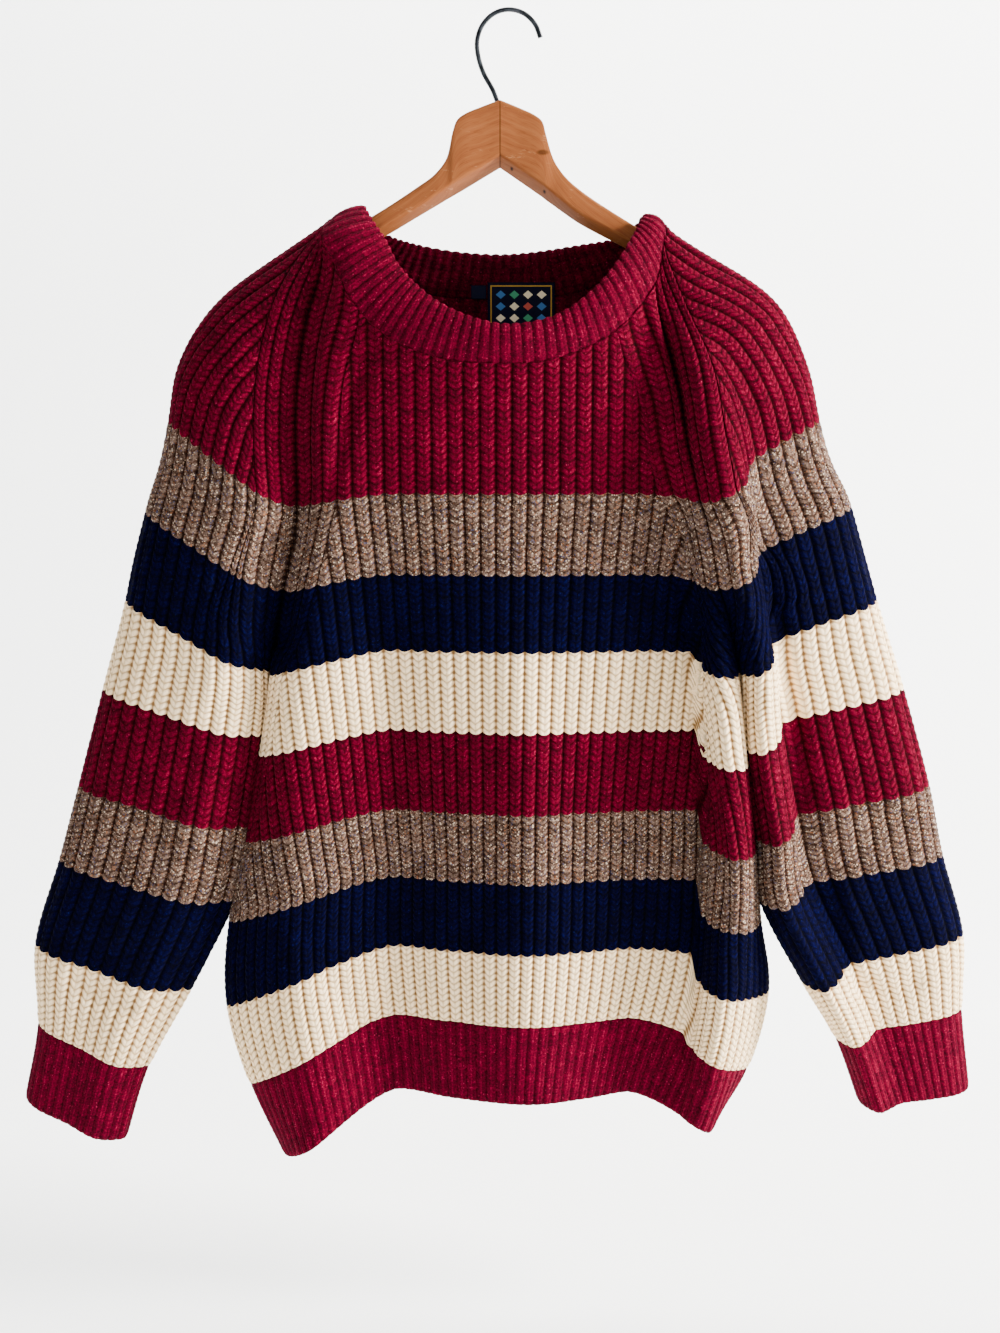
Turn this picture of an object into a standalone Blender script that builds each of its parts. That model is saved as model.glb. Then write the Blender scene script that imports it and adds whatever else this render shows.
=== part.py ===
# Striped fisherman sweater hanging on a wooden hanger.
# +X is the viewer's right, the front faces -Y, and the origin is the inner top of the hook.
# Tables are in millimetres, and every mesh is written in metres.

import math
from collections import namedtuple

import bmesh
import bpy
import numpy as np

MM = 0.001

# Knitted wall
WALL = 2.6
THIN_WALL = 1.1
ARMHOLE_COLUMNS = 7
EASE_ROUNDS = 8
EASE_SHARE = 0.25
EASE_STEP = 0.8
RIB_HEIGHT = 1.6
SEAM_GAP = 0.3
WELT_GAP = 0.9
NECK_RIBS = 84
SHAPED_RIBS = 3
HIDDEN_SHARE = 0.6
FULL_WIDTH_SHARE = 0.75

# Ribs on each side of a piece's middle: left and right of a panel, front and back of a sleeve
RIBS = {
    "front_panel": (25, 29),
    "back_panel": (25, 25),
    "front_hem_rib": (30, 32),
    "back_hem_rib": (29, 30),
    "sleeve_left": (14, 14),
    "sleeve_right": (17, 14),
    "cuff_left": (16, 16),
    "cuff_right": (20, 16),
}

CENTRE_X = -8.0
LEAST_STEP = 0.02
LEAST_REACH = 0.5
CURVE_STEPS = 40

# Rows of the panels: 1 is the top of the welt or cuff, 2 to 8 are the stripe changes,
# and from 8 to 9 the burgundy yoke rises to the neck seam.
PANEL_ROWS = (1, 2, 3, 4, 5, 6, 6.35, 6.7, 7, 8, 8.25, 8.5, 8.75, 9)
WELT_ROWS = (0, 1)
ARMHOLE = 6
STRIPES_TOP = 8
NECK = 9

# Height of each stripe change at the middle, and how far it drops at the two sides.
Level = namedtuple("Level", "level height drop_left drop_right pitch")
LEVELS = [
    Level(0, -748, 55, 29, 8.0),
    Level(1, -691, 56, 43, 8.1),
    Level(2, -638, 49, 38, 8.3),
    Level(3, -587, 37, 35, 8.6),
    Level(4, -538, 27, 29, 9.0),
    Level(5, -481, 21, 23, 9.4),
    Level(6, -425, 19, 16, 9.8),
    Level(7, -372, 14, 9, 10.2),
    Level(8, -317, 10, 5, 10.8),
]
DROP_START_LEFT = -78
DROP_START_RIGHT = 85
DROP_POWER = 1.4

# Side edges of front and back: the side seam up to the armhole, then the raglan seams.
Edge = namedtuple("Edge", "level left left_front left_back right right_front right_back")
EDGES = [
    Edge(0, -162, -8, -8, 149, -8, -8),
    Edge(1, -186, -8, -8, 174, -8, -8),
    Edge(2, -201, -8, -8, 187, -8, -8),
    Edge(3, -198, -8, -8, 180, -8, -8),
    Edge(4, -186, -8, -8, 175, -8, -8),
    Edge(5, -174, -10, -10, 165, -12, -12),
    Edge(6, -165, -13, -13, 158, -18, -18),
    Edge(6.35, -162, -20, -2, 154, -34, -7),
    Edge(7, -155.5, -26, 9, 143, -54, 6),
    Edge(8, -144.5, -28, 15, 128, -50, 15),
    Edge(8.25, -145, -32, 18, 120.5, -48, 18),
    Edge(8.5, -143.5, -33, 19, 116, -44, 20),
    Edge(8.75, -138.5, -30, 18, 109, -38, 19),
    Edge(9, -124.5, -22, 18, 99, -28, 18),
]

# Folds that run down a panel: place and depth at the hem, at the middle and under the yoke.
Fold = namedtuple("Fold", "name hem_x hem_y mid_x mid_y top_x top_y")
FRONT_FOLDS = [
    Fold("left roll", -138, -57, -154, -45, -124, -40),
    Fold("left valley", -80, -32, -82, -35, -84, -41),
    Fold("left flank", -40, -48, -42, -45, -42, -44),
    Fold("centre bulge", 16, -61, 14, -53, 0, -45),
    Fold("right flank", 56, -50, 50, -47, 42, -44),
    Fold("right valley", 90, -37, 94, -40, 80, -41),
    Fold("fold root", 122, -46, 139, -31, 108, -37),
    Fold("fold wall", 127, -52, 142, -50, 116, -41),
    Fold("fold crest", 136, -55, 152, -67, 121, -47),
    Fold("fold back", 144, -50, 165, -62, 125, -49),
]
BACK_FOLDS = [
    Fold("left roll", -136, 34, -150, 26, -122, 20),
    Fold("left valley", -86, 14, -90, 16, -84, 22),
    Fold("left ridge", -34, 36, -36, 32, -40, 26),
    Fold("centre valley", 22, 18, 16, 20, 8, 25),
    Fold("right ridge", 72, 38, 66, 32, 54, 25),
    Fold("right valley", 112, 18, 116, 16, 92, 20),
    Fold("right roll", 136, 30, 150, 24, 112, 18),
]
SIDE_TUCK = 2.0
SIDE_REACH = 15.0
SIDE_FADE = 0.35

# Sleeve rows: the outer edge and, below the armhole, the inner edge.
Sleeve = namedtuple("Sleeve", "level outer_x outer_z inner_x inner_z")
LEFT_SLEEVE = [
    Sleeve(0, -354, -764, -281, -793),
    Sleeve(1, -342, -705, -263, -736),
    Sleeve(2, -341, -645, -231, -676),
    Sleeve(3, -321, -582, -207, -611),
    Sleeve(4, -305, -527, -192, -556),
    Sleeve(5, -285, -457, -180, -490),
    Sleeve(6, -267, -394, -169.5, -444),
    Sleeve(6.35, -262, -372, -162, -422),
    Sleeve(7, -251, -332, -155.5, -386),
    Sleeve(8, -233, -268, -144.5, -327),
    Sleeve(8.25, -226, -231, -145, -281),
    Sleeve(8.5, -206, -195, -143, -236),
    Sleeve(8.75, -167, -166, -138, -191),
    Sleeve(9, -119, -135, -124, -147),
]
RIGHT_SLEEVE = [
    Sleeve(0, 339, -757, 258, -764),
    Sleeve(1, 331, -695, 239, -712),
    Sleeve(2, 329, -638, 214, -668),
    Sleeve(3, 312, -579, 191, -607),
    Sleeve(4, 300, -527, 185, -560),
    Sleeve(5, 279, -457, 175, -495),
    Sleeve(6, 258, -394, 162.5, -441),
    Sleeve(6.35, 251, -371, 153, -420),
    Sleeve(7, 238, -329, 143, -381),
    Sleeve(8, 214, -268, 128, -322),
    Sleeve(8.25, 206, -232, 120, -286),
    Sleeve(8.5, 190, -193, 116, -250),
    Sleeve(8.75, 152, -166, 109, -214),
    Sleeve(9, 107, -138, 99, -177),
]
SHOULDER_Y = 0.0
RIDGE_POWER = 4

# Lines that run down a sleeve, from the inner edge round the front, the outer edge and the
# back: place across (0 inner, 1 outer), depth, and how far the row has risen there.
Line = namedtuple("Line", "name cuff_x cuff_y mid_x mid_y top_x top_y lift")
LEFT_LINES = [
    Line("inner", 0.00, -22, -0.01, -24, 0.14, -34, 0.06),
    Line("front ridge", 0.25, -31, 0.24, -39, 0.30, -39, 0.20),
    Line("front", 0.55, -27, 0.55, -34, 0.60, -36, 0.55),
    Line("outer front", 0.88, -22, 0.90, -24, 0.90, -25, 0.90),
    Line("outer", 1.00, -8, 1.00, -5, 1.00, -4, 1.00),
    Line("outer back", 0.90, 8, 0.92, 14, 0.97, 14, 0.97),
    Line("back", 0.55, 15, 0.58, 24, 0.60, 24, 0.58),
    Line("inner back", 0.10, 8, 0.14, 20, 0.22, 22, 0.18),
]
RIGHT_LINES = [
    Line("inner", 0.00, -24, -0.01, -38, 0.08, -60, 0.02),
    Line("fold crest", 0.12, -40, 0.08, -60, 0.18, -65, 0.08),
    Line("fold wall", 0.24, -34, 0.17, -48, 0.32, -54, 0.22),
    Line("fold root", 0.34, -29, 0.22, -32, 0.38, -42, 0.45),
    Line("front", 0.60, -26, 0.50, -31, 0.60, -35, 0.68),
    Line("outer front", 0.88, -20, 0.90, -23, 0.90, -24, 0.93),
    Line("outer", 1.00, -8, 1.00, -5, 1.00, -4, 1.00),
    Line("outer back", 0.90, 8, 0.92, 14, 0.97, 14, 0.97),
    Line("back", 0.55, 15, 0.58, 24, 0.60, 24, 0.58),
    Line("inner back", 0.10, 8, 0.14, 20, 0.22, 22, 0.18),
]

# Stations round the neckband: the seam below and the free edge above.
Station = namedtuple("Station", "name x y z top_x top_y top_z")
STATIONS = [
    Station("front left raglan", -124.5, -22, -147, -91, -15, -136),
    Station("front left 1", -115, -31, -168, -82, -23, -149),
    Station("front left 2", -103, -38, -191, -73, -32, -166),
    Station("front left 3", -82, -44, -212, -60, -39, -180),
    Station("front left 4", -52, -48, -226, -40, -46, -194),
    Station("front centre", -5, -50, -231, -5, -52, -205),
    Station("front right 4", 34, -48, -227, 30, -49, -200),
    Station("front right 3", 68, -43, -212, 56, -43, -183),
    Station("front right 2", 88, -36, -194, 72, -35, -165),
    Station("front right raglan", 99, -28, -177, 83, -23, -148),
    Station("right shoulder", 107, 0, -138, 92, 0, -132),
    Station("back right raglan", 98, 18, -152, 81, 17, -144),
    Station("back right", 60, 27, -180, 48, 25, -151),
    Station("back centre", -8, 30, -188, -6, 28, -157),
    Station("back left", -70, 28, -181, -60, 25, -151),
    Station("back left raglan", -114, 18, -152, -88, 17, -141),
    Station("left shoulder", -119, 0, -135, -97, 1, -126),
]
BAND_ROWS = (0, 0.5, 1)
NECK_GAP = 0.8
BAND_BULGE = 1.5

# Wooden hanger: sections of one arm, measured out from the glue joint. The underside rises
# by the bevel towards the front.
Section = namedtuple("Section", "out top bottom half_depth bevel rounding")
LEFT_ARM = [
    Section(0, -57.2, -101, 8, 6, 2),
    Section(12, -61.5, -108, 8, 6, 2),
    Section(24, -66.5, -115, 8.5, 6, 2),
    Section(29, -70.5, -117.8, 8.5, 6, 2),
    Section(32, -78.5, -119.5, 8.5, 6, 2),
    Section(36, -95, -121.8, 8, 5.5, 2),
    Section(44, -105.5, -126.5, 8, 5, 2.2),
    Section(56, -114, -133.5, 7.5, 4.5, 2.4),
    Section(83, -131, -149, 7, 4, 2.6),
    Section(112, -146, -163, 5.5, 1, 4.2),
    Section(145, -163.2, -180, 5, 0, 4),
    Section(168, -179, -194, 4.5, 0, 3.6),
    Section(178, -186.6, -199, 3.5, 0, 2.8),
]
RIGHT_ARM = [
    Section(0, -57.2, -101, 8, 6, 2),
    Section(12, -62, -109, 8, 6, 2),
    Section(24, -67.5, -117, 8.5, 6, 2),
    Section(28.5, -71.5, -120, 8.5, 6, 2),
    Section(31, -80, -122, 8.5, 6, 2),
    Section(36, -95.5, -125.5, 8, 5.5, 2),
    Section(43, -106, -130.5, 8, 5, 2.2),
    Section(55, -116.5, -138.5, 7.5, 4.5, 2.4),
    Section(90, -138.5, -156.5, 6.5, 4, 2.6),
    Section(114, -151.5, -169, 5.5, 1, 4.2),
    Section(145, -169.1, -185, 5, 0, 4),
    Section(168, -183.8, -199, 4.5, 0, 3.6),
    Section(178, -190, -204, 3.5, 0, 2.8),
]
JOINT_X = -5.3
ARM_SIDES = 12

# Steel wire hook, the middle of the wire
WIRE_RADIUS = 1.65
HOOK_ROUTE = [
    (-7.3, -57.3), (-10.2, -50.0), (-16.5, -39.0), (-20.0, -28.0), (-20.6, -18.0),
    (-17.2, -8.5), (-9.8, -1.2), (0.0, 1.65), (10.5, -0.8), (18.0, -7.6), (21.8, -16.5),
]

# Woven label on the inside of the back neck
LABEL_LEFT = -14
LABEL_RIGHT = 33
LABEL_TOP = -176
LABEL_BOTTOM = -209
LABEL_THICKNESS = 0.9
LABEL_ROWS = 3
LABEL_COLUMNS = 5
LABEL_TOP_Y = 26.3
LABEL_BOTTOM_Y = 25.0

# The points of a grid's side edges, and of the column inside each
EDGE_PLACES = {
    "first": (np.s_[:, 0], np.s_[:, 1]),
    "last": (np.s_[:, -1], np.s_[:, -2]),
}
UP = np.array([0.0, 0.0, 1.0])

MATERIALS = {
    "wool": ((0.22, 0.01, 0.04), 0.95, 0.0),
    "label": ((0.01, 0.012, 0.05), 0.8, 0.0),
    "wood": ((0.45, 0.18, 0.06), 0.45, 0.0),
    "steel": ((0.10, 0.085, 0.07), 0.4, 1.0),
}


def smooth_read(places, values, place):
    """A smooth curve through a column of a table, read at one place."""
    places = np.asarray(places, dtype=float)
    values = np.asarray(values, dtype=float)
    slopes = np.gradient(values, places)
    i = int(np.clip(np.searchsorted(places, place) - 1, 0, len(places) - 2))
    span = places[i + 1] - places[i]
    t = (place - places[i]) / span
    start = values[i] * (2 * t**3 - 3 * t**2 + 1) + slopes[i] * span * (t**3 - 2 * t**2 + t)
    end = values[i + 1] * (3 * t**2 - 2 * t**3) + slopes[i + 1] * span * (t**3 - t**2)
    return start + end


def column(table, name):
    return [getattr(row, name) for row in table]


def read_level(table, name, level):
    return smooth_read(column(table, "level"), column(table, name), level)


def through_three(low, middle, high, t):
    """The parabola through three values, with t from 0 at the first to 1 at the last."""
    return low * (1 - t) * (1 - 2 * t) + middle * 4 * t * (1 - t) + high * t * (2 * t - 1)


def dense_curve(points, closed=False):
    """Catmull-Rom curve through the points, with knots spaced by the root of the distance."""
    points = np.asarray(points, dtype=float)
    if closed:
        padded = np.vstack([points[-1], points, points[0], points[1]])
    else:
        first = 2 * points[0] - points[1]
        last = 2 * points[-1] - points[-2]
        padded = np.vstack([first, points, last])
    result = []
    for p0, p1, p2, p3 in zip(padded, padded[1:], padded[2:], padded[3:]):
        k0 = 0.0
        k1 = k0 + math.sqrt(max(np.linalg.norm(p1 - p0), LEAST_STEP))
        k2 = k1 + math.sqrt(max(np.linalg.norm(p2 - p1), LEAST_STEP))
        k3 = k2 + math.sqrt(max(np.linalg.norm(p3 - p2), LEAST_STEP))
        for step in range(CURVE_STEPS):
            t = k1 + (k2 - k1) * step / CURVE_STEPS
            a1 = (k1 - t) / (k1 - k0) * p0 + (t - k0) / (k1 - k0) * p1
            a2 = (k2 - t) / (k2 - k1) * p1 + (t - k1) / (k2 - k1) * p2
            a3 = (k3 - t) / (k3 - k2) * p2 + (t - k2) / (k3 - k2) * p3
            b1 = (k2 - t) / (k2 - k0) * a1 + (t - k0) / (k2 - k0) * a2
            b2 = (k3 - t) / (k3 - k1) * a2 + (t - k1) / (k3 - k1) * a3
            result.append((k2 - t) / (k2 - k1) * b1 + (t - k1) / (k2 - k1) * b2)
    result.append(padded[-2])
    return np.array(result)


def lengths_along(curve):
    steps = np.linalg.norm(np.diff(curve, axis=0), axis=1)
    return np.concatenate([[0.0], np.cumsum(steps)])


def read_curve(curve, lengths, places):
    return np.stack([np.interp(places, lengths, curve[:, k]) for k in range(curve.shape[1])], axis=-1)


def neck_curves():
    seam = dense_curve([(s.x, s.y, s.z) for s in STATIONS], closed=True)
    top = dense_curve([(s.top_x, s.top_y, s.top_z) for s in STATIONS], closed=True)
    return seam, top


NECK_SEAM, NECK_TOP = neck_curves()


def station_index(name):
    return column(STATIONS, "name").index(name) * CURVE_STEPS


def neck_normals():
    """Outward directions along the neck seam, square to it and to the band."""
    along = np.roll(NECK_SEAM[:-1], -1, axis=0) - np.roll(NECK_SEAM[:-1], 1, axis=0)
    up = NECK_TOP[:-1] - NECK_SEAM[:-1]
    normals = np.cross(along, up)
    normals /= np.linalg.norm(normals, axis=1)[:, None]
    return np.vstack([normals, normals[:1]])


NECK_NORMALS = neck_normals()


def neck_stretch(first, last):
    """The part of the neck seam from one station to another, with its normals."""
    i = station_index(first)
    j = station_index(last)
    if j <= i:
        j += len(STATIONS) * CURVE_STEPS
    steps = np.arange(i, j + 1) % (len(STATIONS) * CURVE_STEPS)
    return NECK_SEAM[steps], NECK_NORMALS[steps]


def height_at(x, level, left, right):
    """Height of a row at a place across the body, up to the top of the stripes."""
    left_share = np.clip((DROP_START_LEFT - x) / (DROP_START_LEFT - left), 0, 1)
    right_share = np.clip((x - DROP_START_RIGHT) / (right - DROP_START_RIGHT), 0, 1)
    drop_left = read_level(LEVELS, "drop_left", level)
    drop_right = read_level(LEVELS, "drop_right", level)
    height = read_level(LEVELS, "height", level)
    return height - drop_left * left_share**DROP_POWER - drop_right * right_share**DROP_POWER


def body_section(level, folds, side):
    """A row of the front or back as a dense curve from the left edge to the right edge."""
    stripes_level = min(level, STRIPES_TOP)
    yoke = max(level - STRIPES_TOP, 0.0)
    left = read_level(EDGES, "left", level)
    right = read_level(EDGES, "right", level)
    left_y = read_level(EDGES, "left_" + side, level)
    right_y = read_level(EDGES, "right_" + side, level)
    low_left = read_level(EDGES, "left", stripes_level)
    low_right = read_level(EDGES, "right", stripes_level)
    outward = -1 if side == "front" else 1
    t = stripes_level / STRIPES_TOP
    points = []
    for fold in folds:
        x = through_three(fold.hem_x, fold.mid_x, fold.top_x, t)
        y = through_three(fold.hem_y, fold.mid_y, fold.top_y, t)
        if x < CENTRE_X:
            x = CENTRE_X + (x - CENTRE_X) * (left - CENTRE_X) / (low_left - CENTRE_X)
        else:
            x = CENTRE_X + (x - CENTRE_X) * (right - CENTRE_X) / (low_right - CENTRE_X)
        points.append((x, y))
    below = min(max((ARMHOLE + SIDE_FADE - level) / SIDE_FADE, 0.0), 1.0)
    reach = SIDE_REACH * outward * below
    first = (left + SIDE_TUCK * below, left_y)
    last = (right - SIDE_TUCK * below, right_y)
    if below > 0:
        points = [(left, left_y + reach)] + points + [(right, right_y + reach)]
    section = dense_curve([first] + points + [last])
    x = section[:, 0]
    z = height_at(x, stripes_level, low_left, low_right)
    y = section[:, 1]
    if yoke > 0:
        ends = ("front left raglan", "front right raglan") if side == "front" else \
            ("back right raglan", "back left raglan")
        seam, _ = neck_stretch(*ends)
        if side == "back":
            seam = seam[::-1]
        across = (x - left) / (right - left)
        seam_across = (seam[:, 0] - seam[0, 0]) / (seam[-1, 0] - seam[0, 0])
        neck = [np.interp(across, seam_across, seam[:, k]) for k in range(3)]
        x = x * (1 - yoke**4) + neck[0] * yoke**4
        y = y * (1 - yoke**2) + neck[1] * yoke**2
        z = z * (1 - yoke) + neck[2] * yoke
    return np.stack([x, y, z], axis=-1)


def sleeve_section(level, table, lines, body_side):
    """A row of a sleeve, from its front edge round the outside to its back edge."""
    outer = np.array([read_level(table, "outer_x", level), SHOULDER_Y,
                      read_level(table, "outer_z", level)])
    if level <= ARMHOLE:
        inner_x = read_level(table, "inner_x", level)
        inner_z = read_level(table, "inner_z", level)
        front = np.array([inner_x, read_level(EDGES, body_side + "_front", level), inner_z])
        back = front.copy()
    else:
        sections = [body_section(level, FRONT_FOLDS, "front"), body_section(level, BACK_FOLDS, "back")]
        end = 0 if body_side == "left" else -1
        front = sections[0][end]
        back = sections[1][end]
    yoke = max(level - STRIPES_TOP, 0.0)
    t = min(level, STRIPES_TOP) / STRIPES_TOP
    points = [front]
    passed_outer = False
    for line in lines:
        across = through_three(line.cuff_x, line.mid_x, line.top_x, t)
        y = through_three(line.cuff_y, line.mid_y, line.top_y, t)
        edge = back if passed_outer else front
        if line.name == "outer":
            passed_outer = True
        place = edge + (outer - edge) * across
        place[2] = edge[2] + (outer[2] - edge[2]) * line.lift
        rounded = edge[1] + (outer[1] - edge[1]) * max(across, 0.0)**RIDGE_POWER
        place[1] = y * (1 - yoke) + rounded * yoke
        points.append(place)
    points.append(back)
    section = dense_curve(points)
    if yoke > 0:
        ends = ("left shoulder", "front left raglan", "back left raglan") if body_side == "left" else \
            ("right shoulder", "front right raglan", "back right raglan")
        if body_side == "left":
            seam, _ = neck_stretch(ends[2], ends[1])
            seam = seam[::-1]
        else:
            seam, _ = neck_stretch(ends[1], ends[2])
        lengths = lengths_along(section)
        seam_lengths = lengths_along(seam)
        neck = read_curve(seam, seam_lengths, lengths / lengths[-1] * seam_lengths[-1])
        section = section * (1 - yoke**3) + neck * yoke**3
        share = (lengths / lengths[-1])[:, None]
        near_front = np.clip(1 - 2 * share, 0, 1)
        near_back = np.clip(2 * share - 1, 0, 1)
        section = section + (front - section[0]) * near_front + (back - section[-1]) * near_back
    return section


def rib_places(arc, ribs, pitch, hidden_share):
    """Half-rib steps from the middle of a row to its edge, and how proud each step stands.

    The ribs next to the edge follow it at full width. The ones inside them are hidden_share
    as wide, and the rest keep the pitch.
    """
    full = max(pitch, arc / ribs)
    shaped = min(full, arc / (SHAPED_RIBS + 1))
    k = np.arange(2 * ribs + 1) / 2
    from_edge = ribs - k
    inside = np.maximum(from_edge - SHAPED_RIBS, 0)
    edge_places = arc - np.minimum(from_edge, SHAPED_RIBS) * shaped - inside * full * hidden_share
    places = np.maximum(np.minimum(k * full, edge_places), 0)
    width = np.zeros_like(places)
    width[1:-1] = places[2:] - places[:-2]
    proud = np.where(np.arange(len(k)) % 2 == 1, np.clip(width / (full * FULL_WIDTH_SHARE), 0, 1), 0)
    return places, proud * RIB_HEIGHT


def knit_grid(sections, levels, middles, counts, row_pitches=None):
    """Base points of a piece, a row for each section, and how proud each point stands.

    middles gives, for each section, the place along it from which the ribs are counted.
    Without pitches the ribs spread evenly up to the armhole.
    """
    grid = []
    relief = []
    pitches = [0.0, 0.0]
    for row, (section, level, middle) in enumerate(zip(sections, levels, middles)):
        measured = section[:, :2] if row_pitches else section
        lengths = lengths_along(measured)
        centre = np.interp(middle, np.arange(len(section)), lengths)
        arcs = (centre, lengths[-1] - centre)
        if row_pitches:
            pitches = [row_pitches[row]] * 2
        elif level <= ARMHOLE:
            pitches = [arc / count for arc, count in zip(arcs, counts)]
        closing = min(max((level - ARMHOLE) / (STRIPES_TOP - ARMHOLE), 0.0), 1.0)
        share = (HIDDEN_SHARE if row_pitches else 1.0) * (1 - closing)
        sides = [rib_places(arc, count, p, share) for arc, count, p in zip(arcs, counts, pitches)]
        if abs(level - ARMHOLE) < SIDE_FADE + LEAST_STEP:
            for _, proud in sides:
                proud[-2:] = 0
        places = np.concatenate([centre - sides[0][0][::-1], centre + sides[1][0][1:]])
        grid.append(read_curve(section, lengths, places))
        relief.append(np.concatenate([sides[0][1][::-1], sides[1][1][1:]]))
    return np.array(grid), np.array(relief)


def middle_by_x(section, x):
    return float(np.interp(x, section[:, 0], np.arange(len(section))))


def middle_by_outer(section, level):
    """The outermost point of a sleeve's row, or its highest where it lies on the shoulder."""
    if level > STRIPES_TOP:
        return float(np.argmax(section[:, 2]))
    return float(np.argmax(np.abs(section[:, 0])))


def sheet_normals(grid, closed=False, flip=False):
    """Unit directions square to a grid of points; collapsed columns share a direction."""
    if closed:
        along = np.roll(grid, -1, axis=1) - np.roll(grid, 1, axis=1)
    else:
        padded = np.concatenate([2 * grid[:, :1] - grid[:, 1:2], grid,
                                 2 * grid[:, -1:] - grid[:, -2:-1]], axis=1)
        along = padded[:, 2:] - padded[:, :-2]
    for row in range(grid.shape[0]):
        for c in range(grid.shape[1]):
            reach = 1
            while np.linalg.norm(along[row, c]) < LEAST_REACH and not closed and reach < grid.shape[1]:
                reach += 1
                low = max(c - reach, 0)
                high = min(c + reach, grid.shape[1] - 1)
                along[row, c] = grid[row, high] - grid[row, low]
    up = np.gradient(grid, axis=0)
    normals = np.cross(along, up)
    normals /= np.linalg.norm(normals, axis=2)[:, :, None]
    return -normals if flip else normals


def even_normals(grid, normals):
    """Points that fall together get one normal, so that they still fall together moved out."""
    for row in range(grid.shape[0]):
        start = 0
        for c in range(1, grid.shape[1] + 1):
            together = c < grid.shape[1] and np.linalg.norm(grid[row, c] - grid[row, start]) < LEAST_STEP
            if not together:
                mean = normals[row, start:c].sum(axis=0)
                normals[row, start:c] = mean / np.linalg.norm(mean)
                start = c
    return normals


def draw_back(grid, edges):
    """Moves side edges half a seam gap into the sheet."""
    moved = grid.copy()
    for edge in edges:
        index, inside = EDGE_PLACES[edge]
        step = grid[inside] - grid[index]
        size = np.maximum(np.linalg.norm(step, axis=1), LEAST_STEP)
        moved[index] += step / size[:, None] * SEAM_GAP / 2
    return moved


def add_object(name, mesh, kind):
    obj = bpy.data.objects.new(name, mesh)
    collection.objects.link(obj)
    obj.data.materials.append(materials[kind])
    return obj


def ease_tight_bends(grid, normals, depths):
    """Lowers the offset of points in tight bends until the offset rows no longer turn back."""
    base = np.diff(grid, axis=1)
    eased = depths.copy()
    for _ in range(EASE_ROUNDS):
        moved = np.diff(grid + normals * eased[:, :, None], axis=1)
        turned = (base * moved).sum(axis=2) < (base**2).sum(axis=2) * EASE_SHARE
        tight = np.zeros(eased.shape, dtype=bool)
        tight[:, 1:] |= turned
        tight[:, :-1] |= turned
        tight &= np.abs(eased) > THIN_WALL
        eased[tight] *= EASE_STEP
    return eased


def wall_object(name, grid, normals, relief, kind="wool", closed=False, wall=WALL):
    """A closed wall: ribs in its outer points, and a plain inside with half the columns."""
    outer = grid + normals * relief[:, :, None]
    inner_grid = grid[:, ::2]
    inner_normals = normals[:, ::2]
    walls = np.broadcast_to(wall, grid.shape[:2])[:, ::2]
    depths = ease_tight_bends(inner_grid, inner_normals, -walls)
    inner = inner_grid + inner_normals * depths[:, :, None]
    bm = bmesh.new()
    outer_verts = [[bm.verts.new(p * MM) for p in row] for row in outer]
    inner_verts = [[bm.verts.new(p * MM) for p in row] for row in inner]

    def add_face(*verts):
        bm.faces.new(verts)

    rows = len(outer_verts)
    columns = len(outer_verts[0])
    spans = columns if closed else columns - 1
    inner_columns = len(inner_verts[0])
    inner_spans = inner_columns if closed else inner_columns - 1
    for r in range(rows - 1):
        for c in range(spans):
            d = (c + 1) % columns
            low, high = outer_verts[r], outer_verts[r + 1]
            add_face(low[c], low[d], high[d], high[c])
        for c in range(inner_spans):
            d = (c + 1) % inner_columns
            low, high = inner_verts[r], inner_verts[r + 1]
            add_face(low[c], high[c], high[d], low[d])
    for r, turned in ((0, False), (rows - 1, True)):
        for c in range(inner_spans):
            a = outer_verts[r][2 * c]
            b = outer_verts[r][2 * c + 1]
            d = outer_verts[r][(2 * c + 2) % columns]
            i = inner_verts[r][c]
            j = inner_verts[r][(c + 1) % inner_columns]
            for face in ((a, i, b), (b, i, j), (b, j, d)):
                add_face(*(reversed(face) if turned else face))
    if not closed:
        for r in range(rows - 1):
            add_face(outer_verts[r][0], outer_verts[r + 1][0], inner_verts[r + 1][0], inner_verts[r][0])
            add_face(outer_verts[r][-1], inner_verts[r][-1], inner_verts[r + 1][-1], outer_verts[r + 1][-1])
    bmesh.ops.remove_doubles(bm, verts=bm.verts, dist=LEAST_STEP * MM / 2)
    bmesh.ops.recalc_face_normals(bm, faces=bm.faces)
    mesh = bpy.data.meshes.new(name)
    bm.to_mesh(mesh)
    bm.free()
    return add_object(name, mesh, kind)


def make_materials():
    made = {}
    for name, (colour, roughness, metallic) in MATERIALS.items():
        material = bpy.data.materials.new(name)
        material.use_nodes = True
        shader = material.node_tree.nodes["Principled BSDF"]
        shader.inputs["Base Color"].default_value = (*colour, 1)
        shader.inputs["Roughness"].default_value = roughness
        shader.inputs["Metallic"].default_value = metallic
        made[name] = material
    return made


def share_normals(first, second):
    """Two edges that are sewn together take the mean of their directions."""
    mean = first + second
    mean /= np.linalg.norm(mean, axis=-1)[..., None]
    return mean


def welt_normals(row, direction, flip):
    """Outward directions of the row where a welt or cuff joins, square to one direction."""
    padded = np.vstack([2 * row[0] - row[1], row, 2 * row[-1] - row[-2]])
    normals = np.cross(padded[2:] - padded[:-2], direction)
    normals /= np.linalg.norm(normals, axis=1)[:, None]
    return -normals if flip else normals


def sleeve_direction(table):
    """The unit direction up a sleeve's outer edge past its cuff."""
    low, high = table[0], table[2]
    step = np.array([high.outer_x - low.outer_x, 0.0, high.outer_z - low.outer_z])
    return step / np.linalg.norm(step)


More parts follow.
